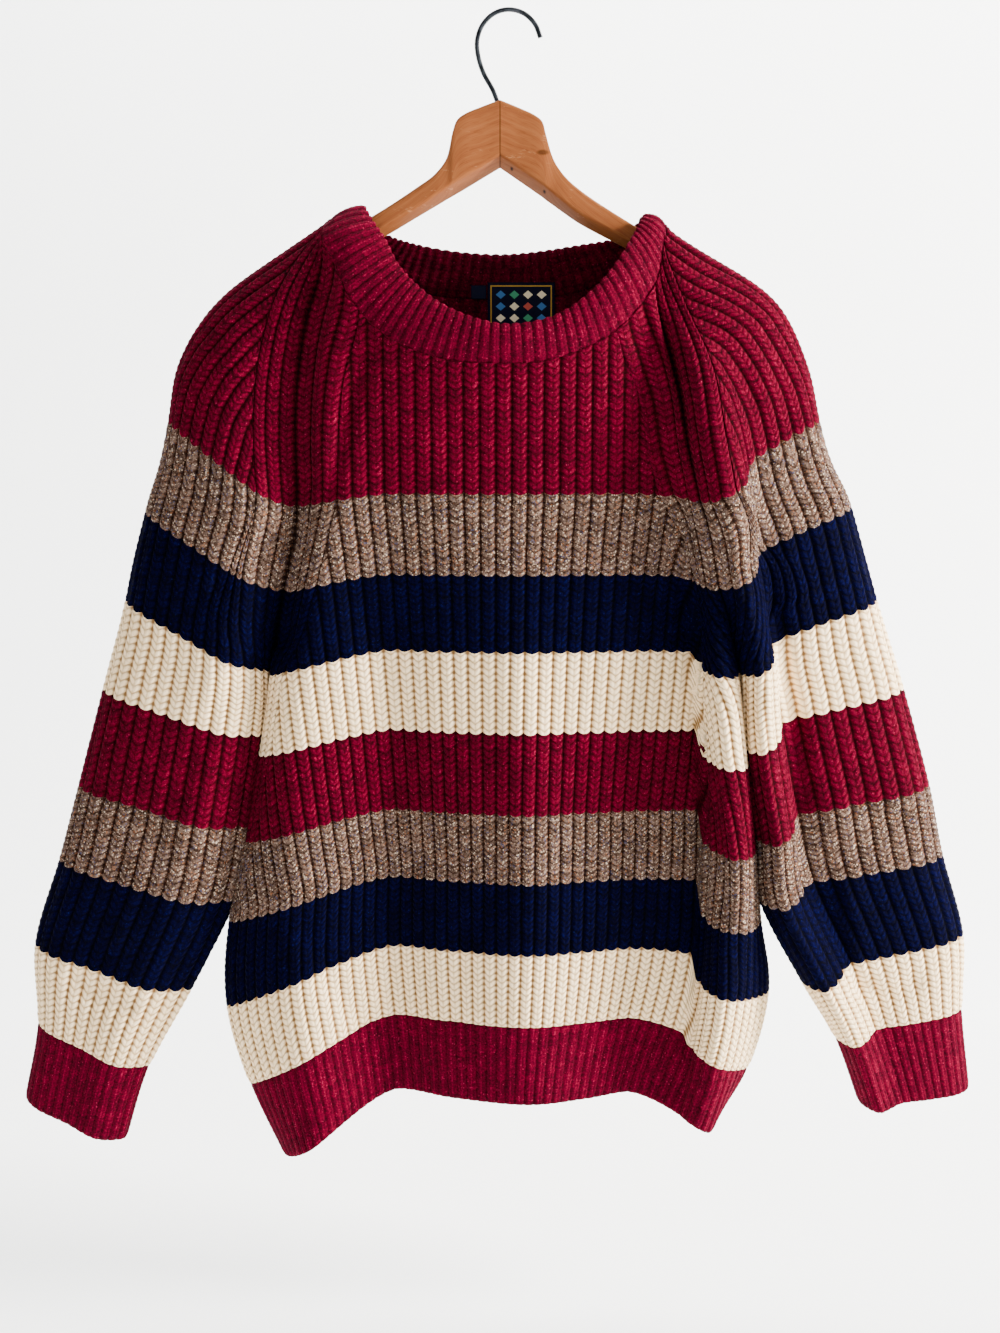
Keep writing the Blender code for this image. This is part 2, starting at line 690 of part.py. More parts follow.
def neck_edge(row):
    """Directions at the points of a row on the neck seam: outward, and up along the band."""
    nearest = np.array([np.argmin(np.linalg.norm(NECK_SEAM - p, axis=1)) for p in row])
    up = NECK_TOP[nearest] - NECK_SEAM[nearest]
    return NECK_NORMALS[nearest], up / np.linalg.norm(up, axis=1)[:, None]


def cloth_grids():
    """Base grids, normals and relief of the two panels and the two sleeves."""
    pieces = {}
    for side, folds in (("front", FRONT_FOLDS), ("back", BACK_FOLDS)):
        sections = [body_section(level, folds, side) for level in PANEL_ROWS]
        middles = [middle_by_x(s, CENTRE_X) for s in sections]
        counts = RIBS[side + "_panel"]
        pitches = [read_level(LEVELS, "pitch", min(level, STRIPES_TOP)) for level in PANEL_ROWS]
        grid, relief = knit_grid(sections, PANEL_ROWS, middles, counts, pitches)
        pieces[side] = [grid, sheet_normals(grid, flip=side == "back"), relief]
    for side, table, lines in (("left", LEFT_SLEEVE, LEFT_LINES), ("right", RIGHT_SLEEVE, RIGHT_LINES)):
        sections = [sleeve_section(level, table, lines, side) for level in PANEL_ROWS]
        middles = [middle_by_outer(s, level) for s, level in zip(sections, PANEL_ROWS)]
        grid, relief = knit_grid(sections, PANEL_ROWS, middles, RIBS["sleeve_" + side])
        pieces[side] = [grid, sheet_normals(grid, flip=side == "left"), relief]
    return pieces


def neck_outline(pieces):
    """The closed outline that the top rows of the four pieces make."""
    rows = [pieces["front"][0][-1], pieces["right"][0][-1],
            pieces["back"][0][-1][::-1], pieces["left"][0][-1][::-1]]
    outline = np.vstack(rows)
    return np.vstack([outline, outline[:1]])


def nearest_on(outline, point):
    """The nearest point of a polyline."""
    start = outline[:-1]
    step = outline[1:] - start
    size = np.maximum((step**2).sum(axis=1), LEAST_STEP**2)
    share = np.clip(((point - start) * step).sum(axis=1) / size, 0, 1)
    places = start + step * share[:, None]
    return places[np.argmin(np.linalg.norm(places - point, axis=1))]


def sew_edges(pieces):
    """Gives the two sides of every seam the same directions."""
    directions = {"front": UP, "back": UP, "left": sleeve_direction(LEFT_SLEEVE),
                  "right": sleeve_direction(RIGHT_SLEEVE)}
    for name, direction in directions.items():
        grid, normals, _ = pieces[name]
        normals[0] = welt_normals(grid[0], direction, name in ("back", "left"))
    front, back = pieces["front"][1], pieces["back"][1]
    for end, sleeve in ((0, "left"), (-1, "right")):
        normals = pieces[sleeve][1]
        for r, level in enumerate(PANEL_ROWS):
            if level <= ARMHOLE:
                front[r, end] = back[r, end] = share_normals(front[r, end], back[r, end])
                normals[r, 0] = normals[r, -1] = share_normals(normals[r, 0], normals[r, -1])
            else:
                front[r, end] = normals[r, 0] = share_normals(front[r, end], normals[r, 0])
                back[r, end] = normals[r, -1] = share_normals(back[r, end], normals[r, -1])
    for name in pieces:
        grid, normals, _ = pieces[name]
        normals[-1], _ = neck_edge(grid[-1])
        pieces[name][1] = even_normals(grid, normals)


def make_panels(pieces):
    names = {"front": "front_panel", "back": "back_panel", "left": "sleeve_left", "right": "sleeve_right"}
    for key, name in names.items():
        grid, normals, relief = pieces[key]
        _, up = neck_edge(grid[-1])
        grid = draw_back(grid, ("first", "last"))
        grid[-1] -= up * NECK_GAP / 2
        direction = {"left": sleeve_direction(LEFT_SLEEVE), "right": sleeve_direction(RIGHT_SLEEVE)}
        grid[0] += direction.get(key, UP) * WELT_GAP / 2
        walls = np.full(relief.shape, WALL)
        for r, level in enumerate(PANEL_ROWS):
            if abs(level - ARMHOLE) < SIDE_FADE + LEAST_STEP:
                walls[r, :ARMHOLE_COLUMNS] = THIN_WALL
                walls[r, -ARMHOLE_COLUMNS:] = THIN_WALL
        wall_object(name, grid, normals, relief, wall=walls)


def welt_grid(sections, middles, counts, direction, flip):
    """A welt or cuff: two rows, whose directions are square to the seam above."""
    grid, relief = knit_grid(sections, WELT_ROWS, middles, counts)
    normals = np.array([welt_normals(row, direction, flip) for row in grid])
    grid[-1] -= direction * WELT_GAP / 2
    return grid, normals, relief


def make_welts():
    made = {}
    for side, folds in (("front", FRONT_FOLDS), ("back", BACK_FOLDS)):
        sections = [body_section(level, folds, side) for level in WELT_ROWS]
        middles = [middle_by_x(s, CENTRE_X) for s in sections]
        counts = RIBS[side + "_hem_rib"]
        made[side] = welt_grid(sections, middles, counts, UP, side == "back")
    for end in (0, -1):
        shared = share_normals(made["front"][1][:, end], made["back"][1][:, end])
        made["front"][1][:, end] = made["back"][1][:, end] = shared
    for side, table, lines in (("left", LEFT_SLEEVE, LEFT_LINES), ("right", RIGHT_SLEEVE, RIGHT_LINES)):
        sections = [sleeve_section(level, table, lines, side) for level in WELT_ROWS]
        middles = [middle_by_outer(s, level) for s, level in zip(sections, WELT_ROWS)]
        direction = sleeve_direction(table)
        made[side] = welt_grid(sections, middles, RIBS["cuff_" + side], direction, side == "left")
        normals = made[side][1]
        normals[:, 0] = normals[:, -1] = share_normals(normals[:, 0], normals[:, -1])
    names = {"front": "front_hem_rib", "back": "back_hem_rib", "left": "cuff_left", "right": "cuff_right"}
    for key, name in names.items():
        grid, normals, relief = made[key]
        wall_object(name, draw_back(grid, ("first", "last")), normals, relief)


def make_neckband(outline):
    seam_lengths = lengths_along(NECK_SEAM)
    places = np.linspace(0, seam_lengths[-1], 2 * NECK_RIBS + 1)[:-1]
    seam = read_curve(NECK_SEAM, seam_lengths, places)
    top = read_curve(NECK_TOP, seam_lengths, places)
    normals = read_curve(NECK_NORMALS, seam_lengths, places)
    normals /= np.linalg.norm(normals, axis=1)[:, None]
    rows = []
    for t in BAND_ROWS:
        bulge = normals * BAND_BULGE * math.sin(math.pi * t)
        rows.append(seam * (1 - t) + top * t + bulge)
    rows[0] = np.array([nearest_on(outline, point) for point in seam])
    for station in STATIONS:
        if "raglan" in station.name or "shoulder" in station.name:
            corner = np.array([station.x, station.y, station.z])
            nearest = np.argmin(np.linalg.norm(rows[0] - corner, axis=1))
            rows[0][nearest] = outline[np.argmin(np.linalg.norm(outline - corner, axis=1))]
    grid = np.array(rows)
    relief = np.tile(np.arange(2 * NECK_RIBS) % 2 * RIB_HEIGHT, (len(rows), 1))
    grid[0] += neck_edge(grid[0])[1] * NECK_GAP / 2
    band_normals = sheet_normals(grid, closed=True)
    band_normals[0] = normals
    wall_object("neckband", grid, band_normals, relief, closed=True)


def arm_ring(section, x):
    """A section of a wooden arm: four rounded corners, three points each."""
    depth = section.half_depth
    corners = np.array([(depth, section.top), (-depth, section.top),
                        (-depth, section.bottom + section.bevel), (depth, section.bottom)])
    ring = []
    for k, corner in enumerate(corners):
        before = corners[k - 1] - corner
        after = corners[(k + 1) % len(corners)] - corner
        start = corner + before / np.linalg.norm(before) * section.rounding
        end = corner + after / np.linalg.norm(after) * section.rounding
        for y, z in (start, (start + 2 * corner + end) / 4, end):
            ring.append((x, y, z))
    return ring


def make_arm(name, table, side):
    bm = bmesh.new()
    loops = []
    for section in table:
        x = JOINT_X + side * (section.out + SEAM_GAP / 2)
        loops.append([bm.verts.new(np.array(p) * MM) for p in arm_ring(section, x)])
    for low, high in zip(loops, loops[1:]):
        for k in range(ARM_SIDES):
            n = (k + 1) % ARM_SIDES
            bm.faces.new((low[k], high[k], high[n], low[n]))
    bm.faces.new(loops[0])
    bm.faces.new(loops[-1])
    bmesh.ops.recalc_face_normals(bm, faces=bm.faces)
    mesh = bpy.data.meshes.new(name)
    bm.to_mesh(mesh)
    bm.free()
    add_object(name, mesh, "wood")


def make_hook():
    route = dense_curve(HOOK_ROUTE)[::CURVE_STEPS // 4]
    curve = bpy.data.curves.new("hanger_hook", "CURVE")
    curve.dimensions = "3D"
    curve.bevel_depth = WIRE_RADIUS * MM
    curve.bevel_resolution = 2
    curve.use_fill_caps = True
    spline = curve.splines.new("POLY")
    spline.points.add(len(route) - 1)
    for point, (x, z) in zip(spline.points, route):
        point.co = (x * MM, 0, z * MM, 1)
    add_object("hanger_hook", curve, "steel")


def make_label():
    """A thin woven label that hangs from the back of the band."""
    heights = np.linspace(LABEL_BOTTOM, LABEL_TOP, LABEL_ROWS)
    depths = np.linspace(LABEL_BOTTOM_Y, LABEL_TOP_Y, LABEL_ROWS)
    places = np.linspace(LABEL_LEFT, LABEL_RIGHT, LABEL_COLUMNS)
    grid = np.array([[(x, y, z) for x in places] for y, z in zip(depths, heights)])
    normals = np.zeros_like(grid)
    normals[:, :, 1] = 1
    relief = np.zeros(grid.shape[:2])
    wall_object("neck_label", grid, normals, relief, "label", wall=LABEL_THICKNESS)


for old in list(bpy.data.objects):
    bpy.data.objects.remove(old, do_unlink=True)
collection = bpy.data.collections.new("fisherman_sweater_on_hanger")
bpy.context.scene.collection.children.link(collection)
materials = make_materials()
pieces = cloth_grids()
sew_edges(pieces)
make_panels(pieces)
make_welts()
make_neckband(neck_outline(pieces))
make_label()
make_arm("hanger_left_arm", LEFT_ARM, -1)
make_arm("hanger_right_arm", RIGHT_ARM, 1)
make_hook()
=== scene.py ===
import bmesh
import bpy
import math
import numpy as np
from collections import namedtuple
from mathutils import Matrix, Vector


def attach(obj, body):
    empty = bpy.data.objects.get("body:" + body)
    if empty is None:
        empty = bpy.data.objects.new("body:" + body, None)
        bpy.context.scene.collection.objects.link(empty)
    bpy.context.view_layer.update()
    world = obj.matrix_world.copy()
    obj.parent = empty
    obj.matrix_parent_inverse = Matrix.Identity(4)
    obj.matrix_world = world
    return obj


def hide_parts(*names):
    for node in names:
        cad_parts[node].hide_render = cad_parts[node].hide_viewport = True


# Striped fisherman sweater on a wooden hanger. Tables are in millimetres, as in the CAD model,
# and left and right are the viewer's.

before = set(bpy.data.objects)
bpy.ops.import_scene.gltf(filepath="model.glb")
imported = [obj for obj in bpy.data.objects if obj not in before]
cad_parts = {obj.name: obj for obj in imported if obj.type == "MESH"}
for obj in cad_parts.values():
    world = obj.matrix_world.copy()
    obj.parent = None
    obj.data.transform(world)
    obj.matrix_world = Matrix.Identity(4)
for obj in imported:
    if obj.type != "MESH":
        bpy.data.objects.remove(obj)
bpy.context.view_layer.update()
print("loaded", len(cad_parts), "nodes")

mm = 0.001
centreX = -8.0
leastStep = 0.02
mergeDistance = 2e-6
curveSteps = 40
armhole = 6
stripesTop = 8
coursesPerLevel = 12
rowsPerLevel = coursesPerLevel * 2
yokeRows = 40


def tableOf(columns, rows):
    Row = namedtuple("Row", columns)
    return [Row(*row) for row in rows]


# Height of each stripe change at the middle, how far it drops at the two sides, and the ribs' pitch.
levels = tableOf("level height dropLeft dropRight pitch", [
    (0, -748, 55, 29, 8.0),
    (1, -691, 56, 43, 8.1),
    (2, -638, 49, 38, 8.3),
    (3, -587, 37, 35, 8.6),
    (4, -538, 27, 29, 9.0),
    (5, -481, 21, 23, 9.4),
    (6, -425, 19, 16, 9.8),
    (7, -372, 14, 9, 10.2),
    (8, -317, 10, 5, 10.8),
])
dropStartLeft = -78
dropStartRight = 85
dropPower = 1.4
# Where the rows step down into the roll on the right.
foldStep = {"hemX": 116, "midX": 133, "topX": 106, "width": 5, "share": 0.85,
            "fromLevel": 0.5, "levels": 7.5}

# Side edges of front and back: the side seam up to the armhole, then the raglan seams.
edges = tableOf("level left leftFront leftBack right rightFront rightBack", [
    (0, -162, -8, -8, 149, -8, -8),
    (1, -186, -8, -8, 174, -8, -8),
    (2, -201, -8, -8, 187, -8, -8),
    (3, -198, -8, -8, 180, -8, -8),
    (4, -186, -8, -8, 175, -8, -8),
    (5, -174, -10, -10, 165, -12, -12),
    (6, -165, -13, -13, 158, -18, -18),
    (6.35, -162, -20, -2, 154, -34, -7),
    (7, -155.5, -26, 9, 143, -54, 6),
    (8, -144.5, -28, 15, 128, -50, 15),
    (8.25, -145, -32, 18, 120.5, -48, 18),
    (8.5, -143.5, -33, 19, 116, -44, 20),
    (8.75, -138.5, -30, 18, 109, -38, 19),
    (9, -124.5, -22, 18, 99, -28, 18),
])

# How many ribs follow the right edge of the front, on the roll there.
rollRibs = tableOf("level ribs", [
    (0, 9), (1, 10.2), (2, 11.3), (3, 11.3), (4, 10.9), (5, 9.6),
    (6, 7.8), (6.35, 5.6), (7, 3.2), (8, 2.8), (9, 2.8),
])
# Folds that run down a panel: place and depth at the hem, at the middle and under the yoke.
foldColumns = "name hemX hemY midX midY topX topY"
frontFolds = tableOf(foldColumns, [
    ("left roll", -138, -57, -154, -45, -124, -40),
    ("left valley", -80, -32, -82, -35, -84, -41),
    ("left flank", -40, -48, -42, -45, -42, -44),
    ("centre bulge", 16, -61, 14, -53, 0, -45),
    ("right flank", 56, -50, 50, -47, 42, -44),
    ("right valley", 90, -37, 94, -40, 80, -41),
    ("fold root", 122, -46, 139, -31, 108, -37),
    ("fold wall", 127, -52, 142, -50, 116, -41),
    ("fold crest", 136, -55, 152, -67, 121, -47),
    ("fold back", 144, -50, 165, -62, 125, -49),
])
backFolds = tableOf(foldColumns, [
    ("left roll", -136, 34, -150, 26, -122, 20),
    ("left valley", -86, 14, -90, 16, -84, 22),
    ("left ridge", -34, 36, -36, 32, -40, 26),
    ("centre valley", 22, 18, 16, 20, 8, 25),
    ("right ridge", 72, 38, 66, 32, 54, 25),
    ("right valley", 112, 18, 116, 16, 92, 20),
    ("right roll", 136, 30, 150, 24, 112, 18),
])
# Sleeve rows: the outer edge and, below the armhole, the inner edge.
sleeveColumns = "level outerX outerZ innerX innerZ"
leftSleeve = tableOf(sleeveColumns, [
    (0, -354, -764, -281, -793),
    (1, -342, -705, -263, -736),
    (2, -341, -645, -231, -676),
    (3, -321, -582, -198.5, -611),
    (4, -305, -527, -185.5, -556),
    (5, -285, -457, -172, -490),
    (6, -267, -394, -165.5, -444),
    (6.35, -262, -372, -162, -422),
    (7, -251, -332, -155.5, -386),
    (8, -233, -268, -144.5, -327),
    (8.25, -226, -231, -145, -281),
    (8.5, -206, -195, -143, -236),
    (8.75, -167, -166, -138, -191),
    (9, -119, -135, -124, -147),
])
rightSleeve = tableOf(sleeveColumns, [
    (0, 339, -757, 258, -764),
    (1, 331, -695, 239, -712),
    (2, 329, -638, 214, -668),
    (3, 312, -579, 182.5, -607),
    (4, 300, -527, 177, -560),
    (5, 279, -457, 164.5, -495),
    (6, 258, -394, 160, -441),
    (6.35, 251, -371, 153, -420),
    (7, 238, -329, 143, -381),
    (8, 214, -268, 128, -322),
    (8.25, 206, -232, 120, -286),
    (8.5, 190, -193, 116, -250),
    (8.75, 152, -166, 109, -214),
    (9, 107, -138, 99, -177),
])
# Lines that run down a sleeve, from the inner edge round the front, the outer edge and the
# back: place across (0 inner, 1 outer), depth, and how far the row has risen there.
lineColumns = "name cuffX cuffY midX midY topX topY lift"
outerLines = tableOf(lineColumns, [
    ("outer", 1.00, -8, 1.00, -5, 1.00, -4, 1.00),
    ("outer back", 0.90, 8, 0.92, 14, 0.97, 14, 0.97),
    ("back", 0.55, 15, 0.58, 24, 0.60, 24, 0.58),
    ("inner back", 0.10, 8, 0.14, 20, 0.22, 22, 0.18),
])
leftLines = tableOf(lineColumns, [
    ("inner", 0.00, -22, -0.01, -24, 0.14, -34, 0.06),
    ("front ridge", 0.25, -31, 0.24, -39, 0.30, -39, 0.20),
    ("front", 0.55, -27, 0.55, -34, 0.60, -36, 0.55),
    ("outer front", 0.88, -22, 0.90, -24, 0.90, -25, 0.90),
]) + outerLines
rightLines = tableOf(lineColumns, [
    ("inner", 0.00, -24, -0.01, -38, 0.08, -60, 0.02),
    ("fold crest", 0.12, -40, 0.08, -60, 0.18, -65, 0.08),
    ("fold wall", 0.24, -34, 0.17, -48, 0.32, -54, 0.22),
    ("fold root", 0.34, -29, 0.22, -32, 0.38, -42, 0.45),
    ("front", 0.60, -26, 0.50, -31, 0.60, -35, 0.68),
    ("outer front", 0.88, -20, 0.90, -23, 0.90, -24, 0.93),
]) + outerLines

# Stations round the neckband: the seam below and the free edge above.
stations = tableOf("name x y z topX topY topZ", [
    ("front left raglan", -124.5, -22, -147, -91, -15, -136),
    ("front left 1", -115, -31, -168, -82, -23, -149),
    ("front left 2", -103, -38, -191, -73, -32, -166),
    ("front left 3", -82, -44, -212, -60, -39, -180),
    ("front left 4", -52, -48, -226, -40, -46, -194),
    ("front centre", -5, -50, -231, -5, -52, -205),
    ("front right 4", 34, -48, -227, 30, -49, -200),
    ("front right 3", 68, -43, -212, 56, -43, -183),
    ("front right 2", 88, -36, -194, 72, -35, -165),
    ("front right raglan", 99, -28, -177, 83, -23, -148),
    ("right shoulder", 107, 0, -138, 92, 0, -132),
    ("back right raglan", 98, 18, -152, 81, 17, -144),
    ("back right", 60, 27, -180, 48, 25, -151),
    ("back centre", -8, 30, -188, -6, 28, -157),
    ("back left", -70, 28, -181, -60, 25, -151),
    ("back left raglan", -114, 18, -152, -88, 17, -141),
    ("left shoulder", -119, 0, -135, -97, 1, -126),
])
# Wooden hanger: sections of one arm, measured out from the glue joint. The underside rises
# by the bevel towards the front.
sectionColumns = "out top bottom halfDepth bevel rounding"
leftArm = tableOf(sectionColumns, [
    (0, -57.2, -101, 8, 8, 2),
    (12, -61.5, -108, 8, 8, 2),
    (24, -66.5, -115, 8.5, 8, 2),
    (29, -70.5, -117.8, 8.5, 8, 2),
    (32, -78.5, -119.5, 8.5, 8, 2),
    (36, -95, -121.8, 8, 7.5, 2),
    (44, -105.5, -126.5, 8, 7, 2.2),
    (56, -114, -133.5, 7.5, 6.5, 2.4),
    (83, -131, -149, 7, 6, 2.6),
    (112, -146, -163, 5.5, 3, 4.2),
    (145, -163.2, -180, 5, 0, 4),
    (168, -179, -194, 4.5, 0, 3.6),
    (178, -186.6, -199, 3.5, 0, 2.8),
])
rightArm = tableOf(sectionColumns, [
    (0, -57.2, -101, 8, 8, 2),
    (12, -62, -109, 8, 8, 2),
    (24, -67.5, -117, 8.5, 8, 2),
    (28.5, -71.5, -120, 8.5, 8, 2),
    (31, -80, -122, 8.5, 8, 2),
    (36, -95.5, -125.5, 8, 7.5, 2),
    (43, -106, -130.5, 8, 7, 2.2),
    (55, -116.5, -138.5, 7.5, 6.5, 2.4),
    (90, -138.5, -156.5, 6.5, 6, 2.6),
    (114, -151.5, -169, 5.5, 3, 4.2),
    (145, -169.1, -185, 5, 0, 4),
    (168, -183.8, -199, 4.5, 0, 3.6),
    (178, -190, -204, 3.5, 0, 2.8),
])

# The cloth's wall, how proud its ribs stand and how deep its furrows and stitches are; the slant
# of a stitch's legs; the ribs that run out beside a seam; how the sides turn into the seams; and
# how welts, joins and the inside differ.
knit = {
    "wall": 2.6, "ribHeight": 1.5, "furrow": -0.55, "stitchDepth": 0.34, "purlHeight": -1.0, "knitHeight": 0.35,
    "chevron": 0.4, "chevronPower": 1.6, "courseHeight": 4.8,
    "edgeRibs": 3, "fullWidthShare": 0.75, "evenPlaces": 161,
    "sideTuck": 2.0, "sideReach": 15.0, "sideFade": 0.35, "ridgePower": 4, "seamTuck": -0.7,
    "bandBulge": 2.6, "joinedRelief": 0.4, "edgeTurn": 1.1, "turnedCourses": 0.9,
    "insideRows": 4, "insideDepth": 0.6,
}

# One rib across: places from furrow to furrow, and how proud the knit column stands there.
ribSamples = [(0.0, 0.0), (0.13, 0.55), (0.3, 1.0), (0.5, 0.82), (0.7, 1.0), (0.87, 0.55)]


def smoothRead(places, values, place):
    places = np.asarray(places, dtype=float)
    values = np.asarray(values, dtype=float)
    slopes = np.gradient(values, places)
    i = int(np.clip(np.searchsorted(places, place) - 1, 0, len(places) - 2))
    span = places[i + 1] - places[i]
    t = (place - places[i]) / span
    start = values[i] * (2 * t**3 - 3 * t**2 + 1) + slopes[i] * span * (t**3 - 2 * t**2 + t)
    end = values[i + 1] * (3 * t**2 - 2 * t**3) + slopes[i + 1] * span * (t**3 - t**2)
    return start + end


def column(table, name):
    return [getattr(row, name) for row in table]


def readLevel(table, name, level):
    return smoothRead(column(table, "level"), column(table, name), level)


def throughThree(low, middle, high, t):
    return low * (1 - t) * (1 - 2 * t) + middle * 4 * t * (1 - t) + high * t * (2 * t - 1)


def unit(vectors):
    return vectors / np.maximum(np.linalg.norm(vectors, axis=-1), 1e-9)[..., None]


def denseCurve(points, closed=False, steps=curveSteps):
    points = np.asarray(points, dtype=float)
    if closed:
        padded = np.vstack([points[-1], points, points[0], points[1]])
    else:
        padded = np.vstack([2 * points[0] - points[1], points, 2 * points[-1] - points[-2]])
    t = np.arange(steps)[:, None] / steps
    result = []
    for p0, p1, p2, p3 in zip(padded, padded[1:], padded[2:], padded[3:]):
        k1 = math.sqrt(max(np.linalg.norm(p1 - p0), leastStep))
        k2 = k1 + math.sqrt(max(np.linalg.norm(p2 - p1), leastStep))
        k3 = k2 + math.sqrt(max(np.linalg.norm(p3 - p2), leastStep))
        k = k1 + (k2 - k1) * t
        a1 = (k1 - k) / k1 * p0 + k / k1 * p1
        a2 = (k2 - k) / (k2 - k1) * p1 + (k - k1) / (k2 - k1) * p2
        a3 = (k3 - k) / (k3 - k2) * p2 + (k - k2) / (k3 - k2) * p3
        b1 = (k2 - k) / k2 * a1 + k / k2 * a2
        b2 = (k3 - k) / (k3 - k1) * a2 + (k - k1) / (k3 - k1) * a3
        result.append((k2 - k) / (k2 - k1) * b1 + (k - k1) / (k2 - k1) * b2)
    result.append(padded[-2][None])
    return np.vstack(result)


def lengthsAlong(curve):
    return np.concatenate([[0.0], np.cumsum(np.linalg.norm(np.diff(curve, axis=0), axis=1))])


def readCurve(curve, lengths, places):
    return np.stack([np.interp(places, lengths, curve[:, k]) for k in range(curve.shape[1])], axis=-1)


neckSeam = denseCurve([(s.x, s.y, s.z) for s in stations], closed=True)
neckTop = denseCurve([(s.topX, s.topY, s.topZ) for s in stations], closed=True)
neckAlong = np.roll(neckSeam[:-1], -1, axis=0) - np.roll(neckSeam[:-1], 1, axis=0)
neckOut = unit(np.cross(neckAlong, neckTop[:-1] - neckSeam[:-1]))
neckOut = np.vstack([neckOut, neckOut[:1]])


# The stretch of the neck's seam that each part runs up to, and whether it is read backwards.
neckStretches = {"Front": ("front left raglan", "front right raglan", 1),
                 "Back": ("back right raglan", "back left raglan", -1),
                 "left": ("back left raglan", "front left raglan", -1),
                 "right": ("front right raglan", "back right raglan", 1)}


def neckStretch(side):
    names = column(stations, "name")
    first, last, step = neckStretches[side]
    i = names.index(first) * curveSteps
    j = names.index(last) * curveSteps
    if j <= i:
        j += len(stations) * curveSteps
    return neckSeam[np.arange(i, j + 1) % (len(stations) * curveSteps)][::step]


# A row's height: level in the middle, dropping to both sides, with a step down at the fold.
def heightAt(x, level, left, right):
    leftShare = np.clip((dropStartLeft - x) / (dropStartLeft - left), 0, 1)
    rightShare = np.clip((x - dropStartRight) / (right - dropStartRight), 0, 1)
    stepX = throughThree(foldStep["hemX"], foldStep["midX"], foldStep["topX"], level / stripesTop)
    step = np.clip((x - stepX) / foldStep["width"], 0, 1)
    step = step * step * (3 - 2 * step)
    rise = np.clip((level - foldStep["fromLevel"]) / foldStep["levels"], 0, 1)
    part = foldStep["share"] * math.sin(math.pi * rise)
    drop = readLevel(levels, "dropLeft", level) * leftShare**dropPower
    drop = drop + readLevel(levels, "dropRight", level) * (rightShare**dropPower * (1 - part) + step * part)
    return readLevel(levels, "height", level) - drop


def bodySection(level, folds, side):
    low = min(level, stripesTop)
    yoke = max(level - stripesTop, 0.0)
    left = readLevel(edges, "left", level)
    right = readLevel(edges, "right", level)
    leftY = readLevel(edges, "left" + side, level)
    rightY = readLevel(edges, "right" + side, level)
    lowLeft = readLevel(edges, "left", low)
    lowRight = readLevel(edges, "right", low)
    outward = -1 if side == "Front" else 1
    t = low / stripesTop
    points = []
    for fold in folds:
        x = throughThree(fold.hemX, fold.midX, fold.topX, t)
        y = throughThree(fold.hemY, fold.midY, fold.topY, t)
        if x < centreX:
            x = centreX + (x - centreX) * (left - centreX) / (lowLeft - centreX)
        else:
            x = centreX + (x - centreX) * (right - centreX) / (lowRight - centreX)
        points.append((x, y))
    below = min(max((armhole + knit["sideFade"] - level) / knit["sideFade"], 0.0), 1.0)
    reach = knit["sideReach"] * outward * below
    first = (left + knit["sideTuck"] * below, leftY)
    last = (right - knit["sideTuck"] * below, rightY)
    if below > 0:
        points = [(left, leftY + reach)] + points + [(right, rightY + reach)]
    section = denseCurve([first] + points + [last])
    x = section[:, 0]
    y = section[:, 1]
    z = heightAt(x, low, lowLeft, lowRight)
    if yoke > 0:
        seam = neckStretch(side)
        across = (x - left) / (right - left)
        seamAcross = (seam[:, 0] - seam[0, 0]) / (seam[-1, 0] - seam[0, 0])
        neck = [np.interp(across, seamAcross, seam[:, k]) for k in range(3)]
        x = x * (1 - yoke**4) + neck[0] * yoke**4
        y = y * (1 - yoke**2) + neck[1] * yoke**2
        z = z * (1 - yoke) + neck[2] * yoke
    return np.stack([x, y, z], axis=-1)


def sleeveSection(level, table, lines, side):
    outer = np.array([readLevel(table, "outerX", level), 0.0, readLevel(table, "outerZ", level)])
    innerLevel = min(level, armhole)
    inner = np.array([readLevel(table, "innerX", innerLevel),
                      readLevel(edges, side + "Front", innerLevel),
                      readLevel(table, "innerZ", innerLevel)])
    opening = min(max((level - armhole) / knit["sideFade"], 0.0), 1.0)
    end = 0 if side == "left" else -1
    front = inner * (1 - opening) + bodySection(level, frontFolds, "Front")[end] * opening
    back = inner * (1 - opening) + bodySection(level, backFolds, "Back")[end] * opening
    yoke = max(level - stripesTop, 0.0)
    t = min(level, stripesTop) / stripesTop
    points = [front]
    passedOuter = False
    for line in lines:
        across = throughThree(line.cuffX, line.midX, line.topX, t)
        y = throughThree(line.cuffY, line.midY, line.topY, t)
        edge = back if passedOuter else front
        if line.name == "outer":
            passedOuter = True
        place = edge + (outer - edge) * across
        place[2] = edge[2] + (outer[2] - edge[2]) * line.lift
        rounded = edge[1] + (outer[1] - edge[1]) * max(across, 0.0)**knit["ridgePower"]
        place[1] = y * (1 - yoke) + rounded * yoke
        points.append(place)
    points.append(back)
    section = denseCurve(points)
    if yoke > 0:
        seam = neckStretch(side)
        share = lengthsAlong(section)
        share = share / share[-1]
        seamLengths = lengthsAlong(seam)
        neck = readCurve(seam, seamLengths, share * seamLengths[-1])
        section = section * (1 - yoke**3) + neck * yoke**3
        share = share[:, None]
        nearFront = np.clip(1 - 2 * share, 0, 1)
        nearBack = np.clip(2 * share - 1, 0, 1)
        section = section + (front - section[0]) * nearFront + (back - section[-1]) * nearBack
    return section


def middleOfPanel(section, level):
    return float(np.interp(centreX, section[:, 0], np.arange(len(section))))


def middleOfSleeve(section, level):
    if level > stripesTop:
        return float(np.argmax(section[:, 2]))
    return float(np.argmax(np.abs(section[:, 0])))


def ribSteps(ribs):
    return np.array([r + place for r in range(ribs) for place, _ in ribSamples] + [ribs])


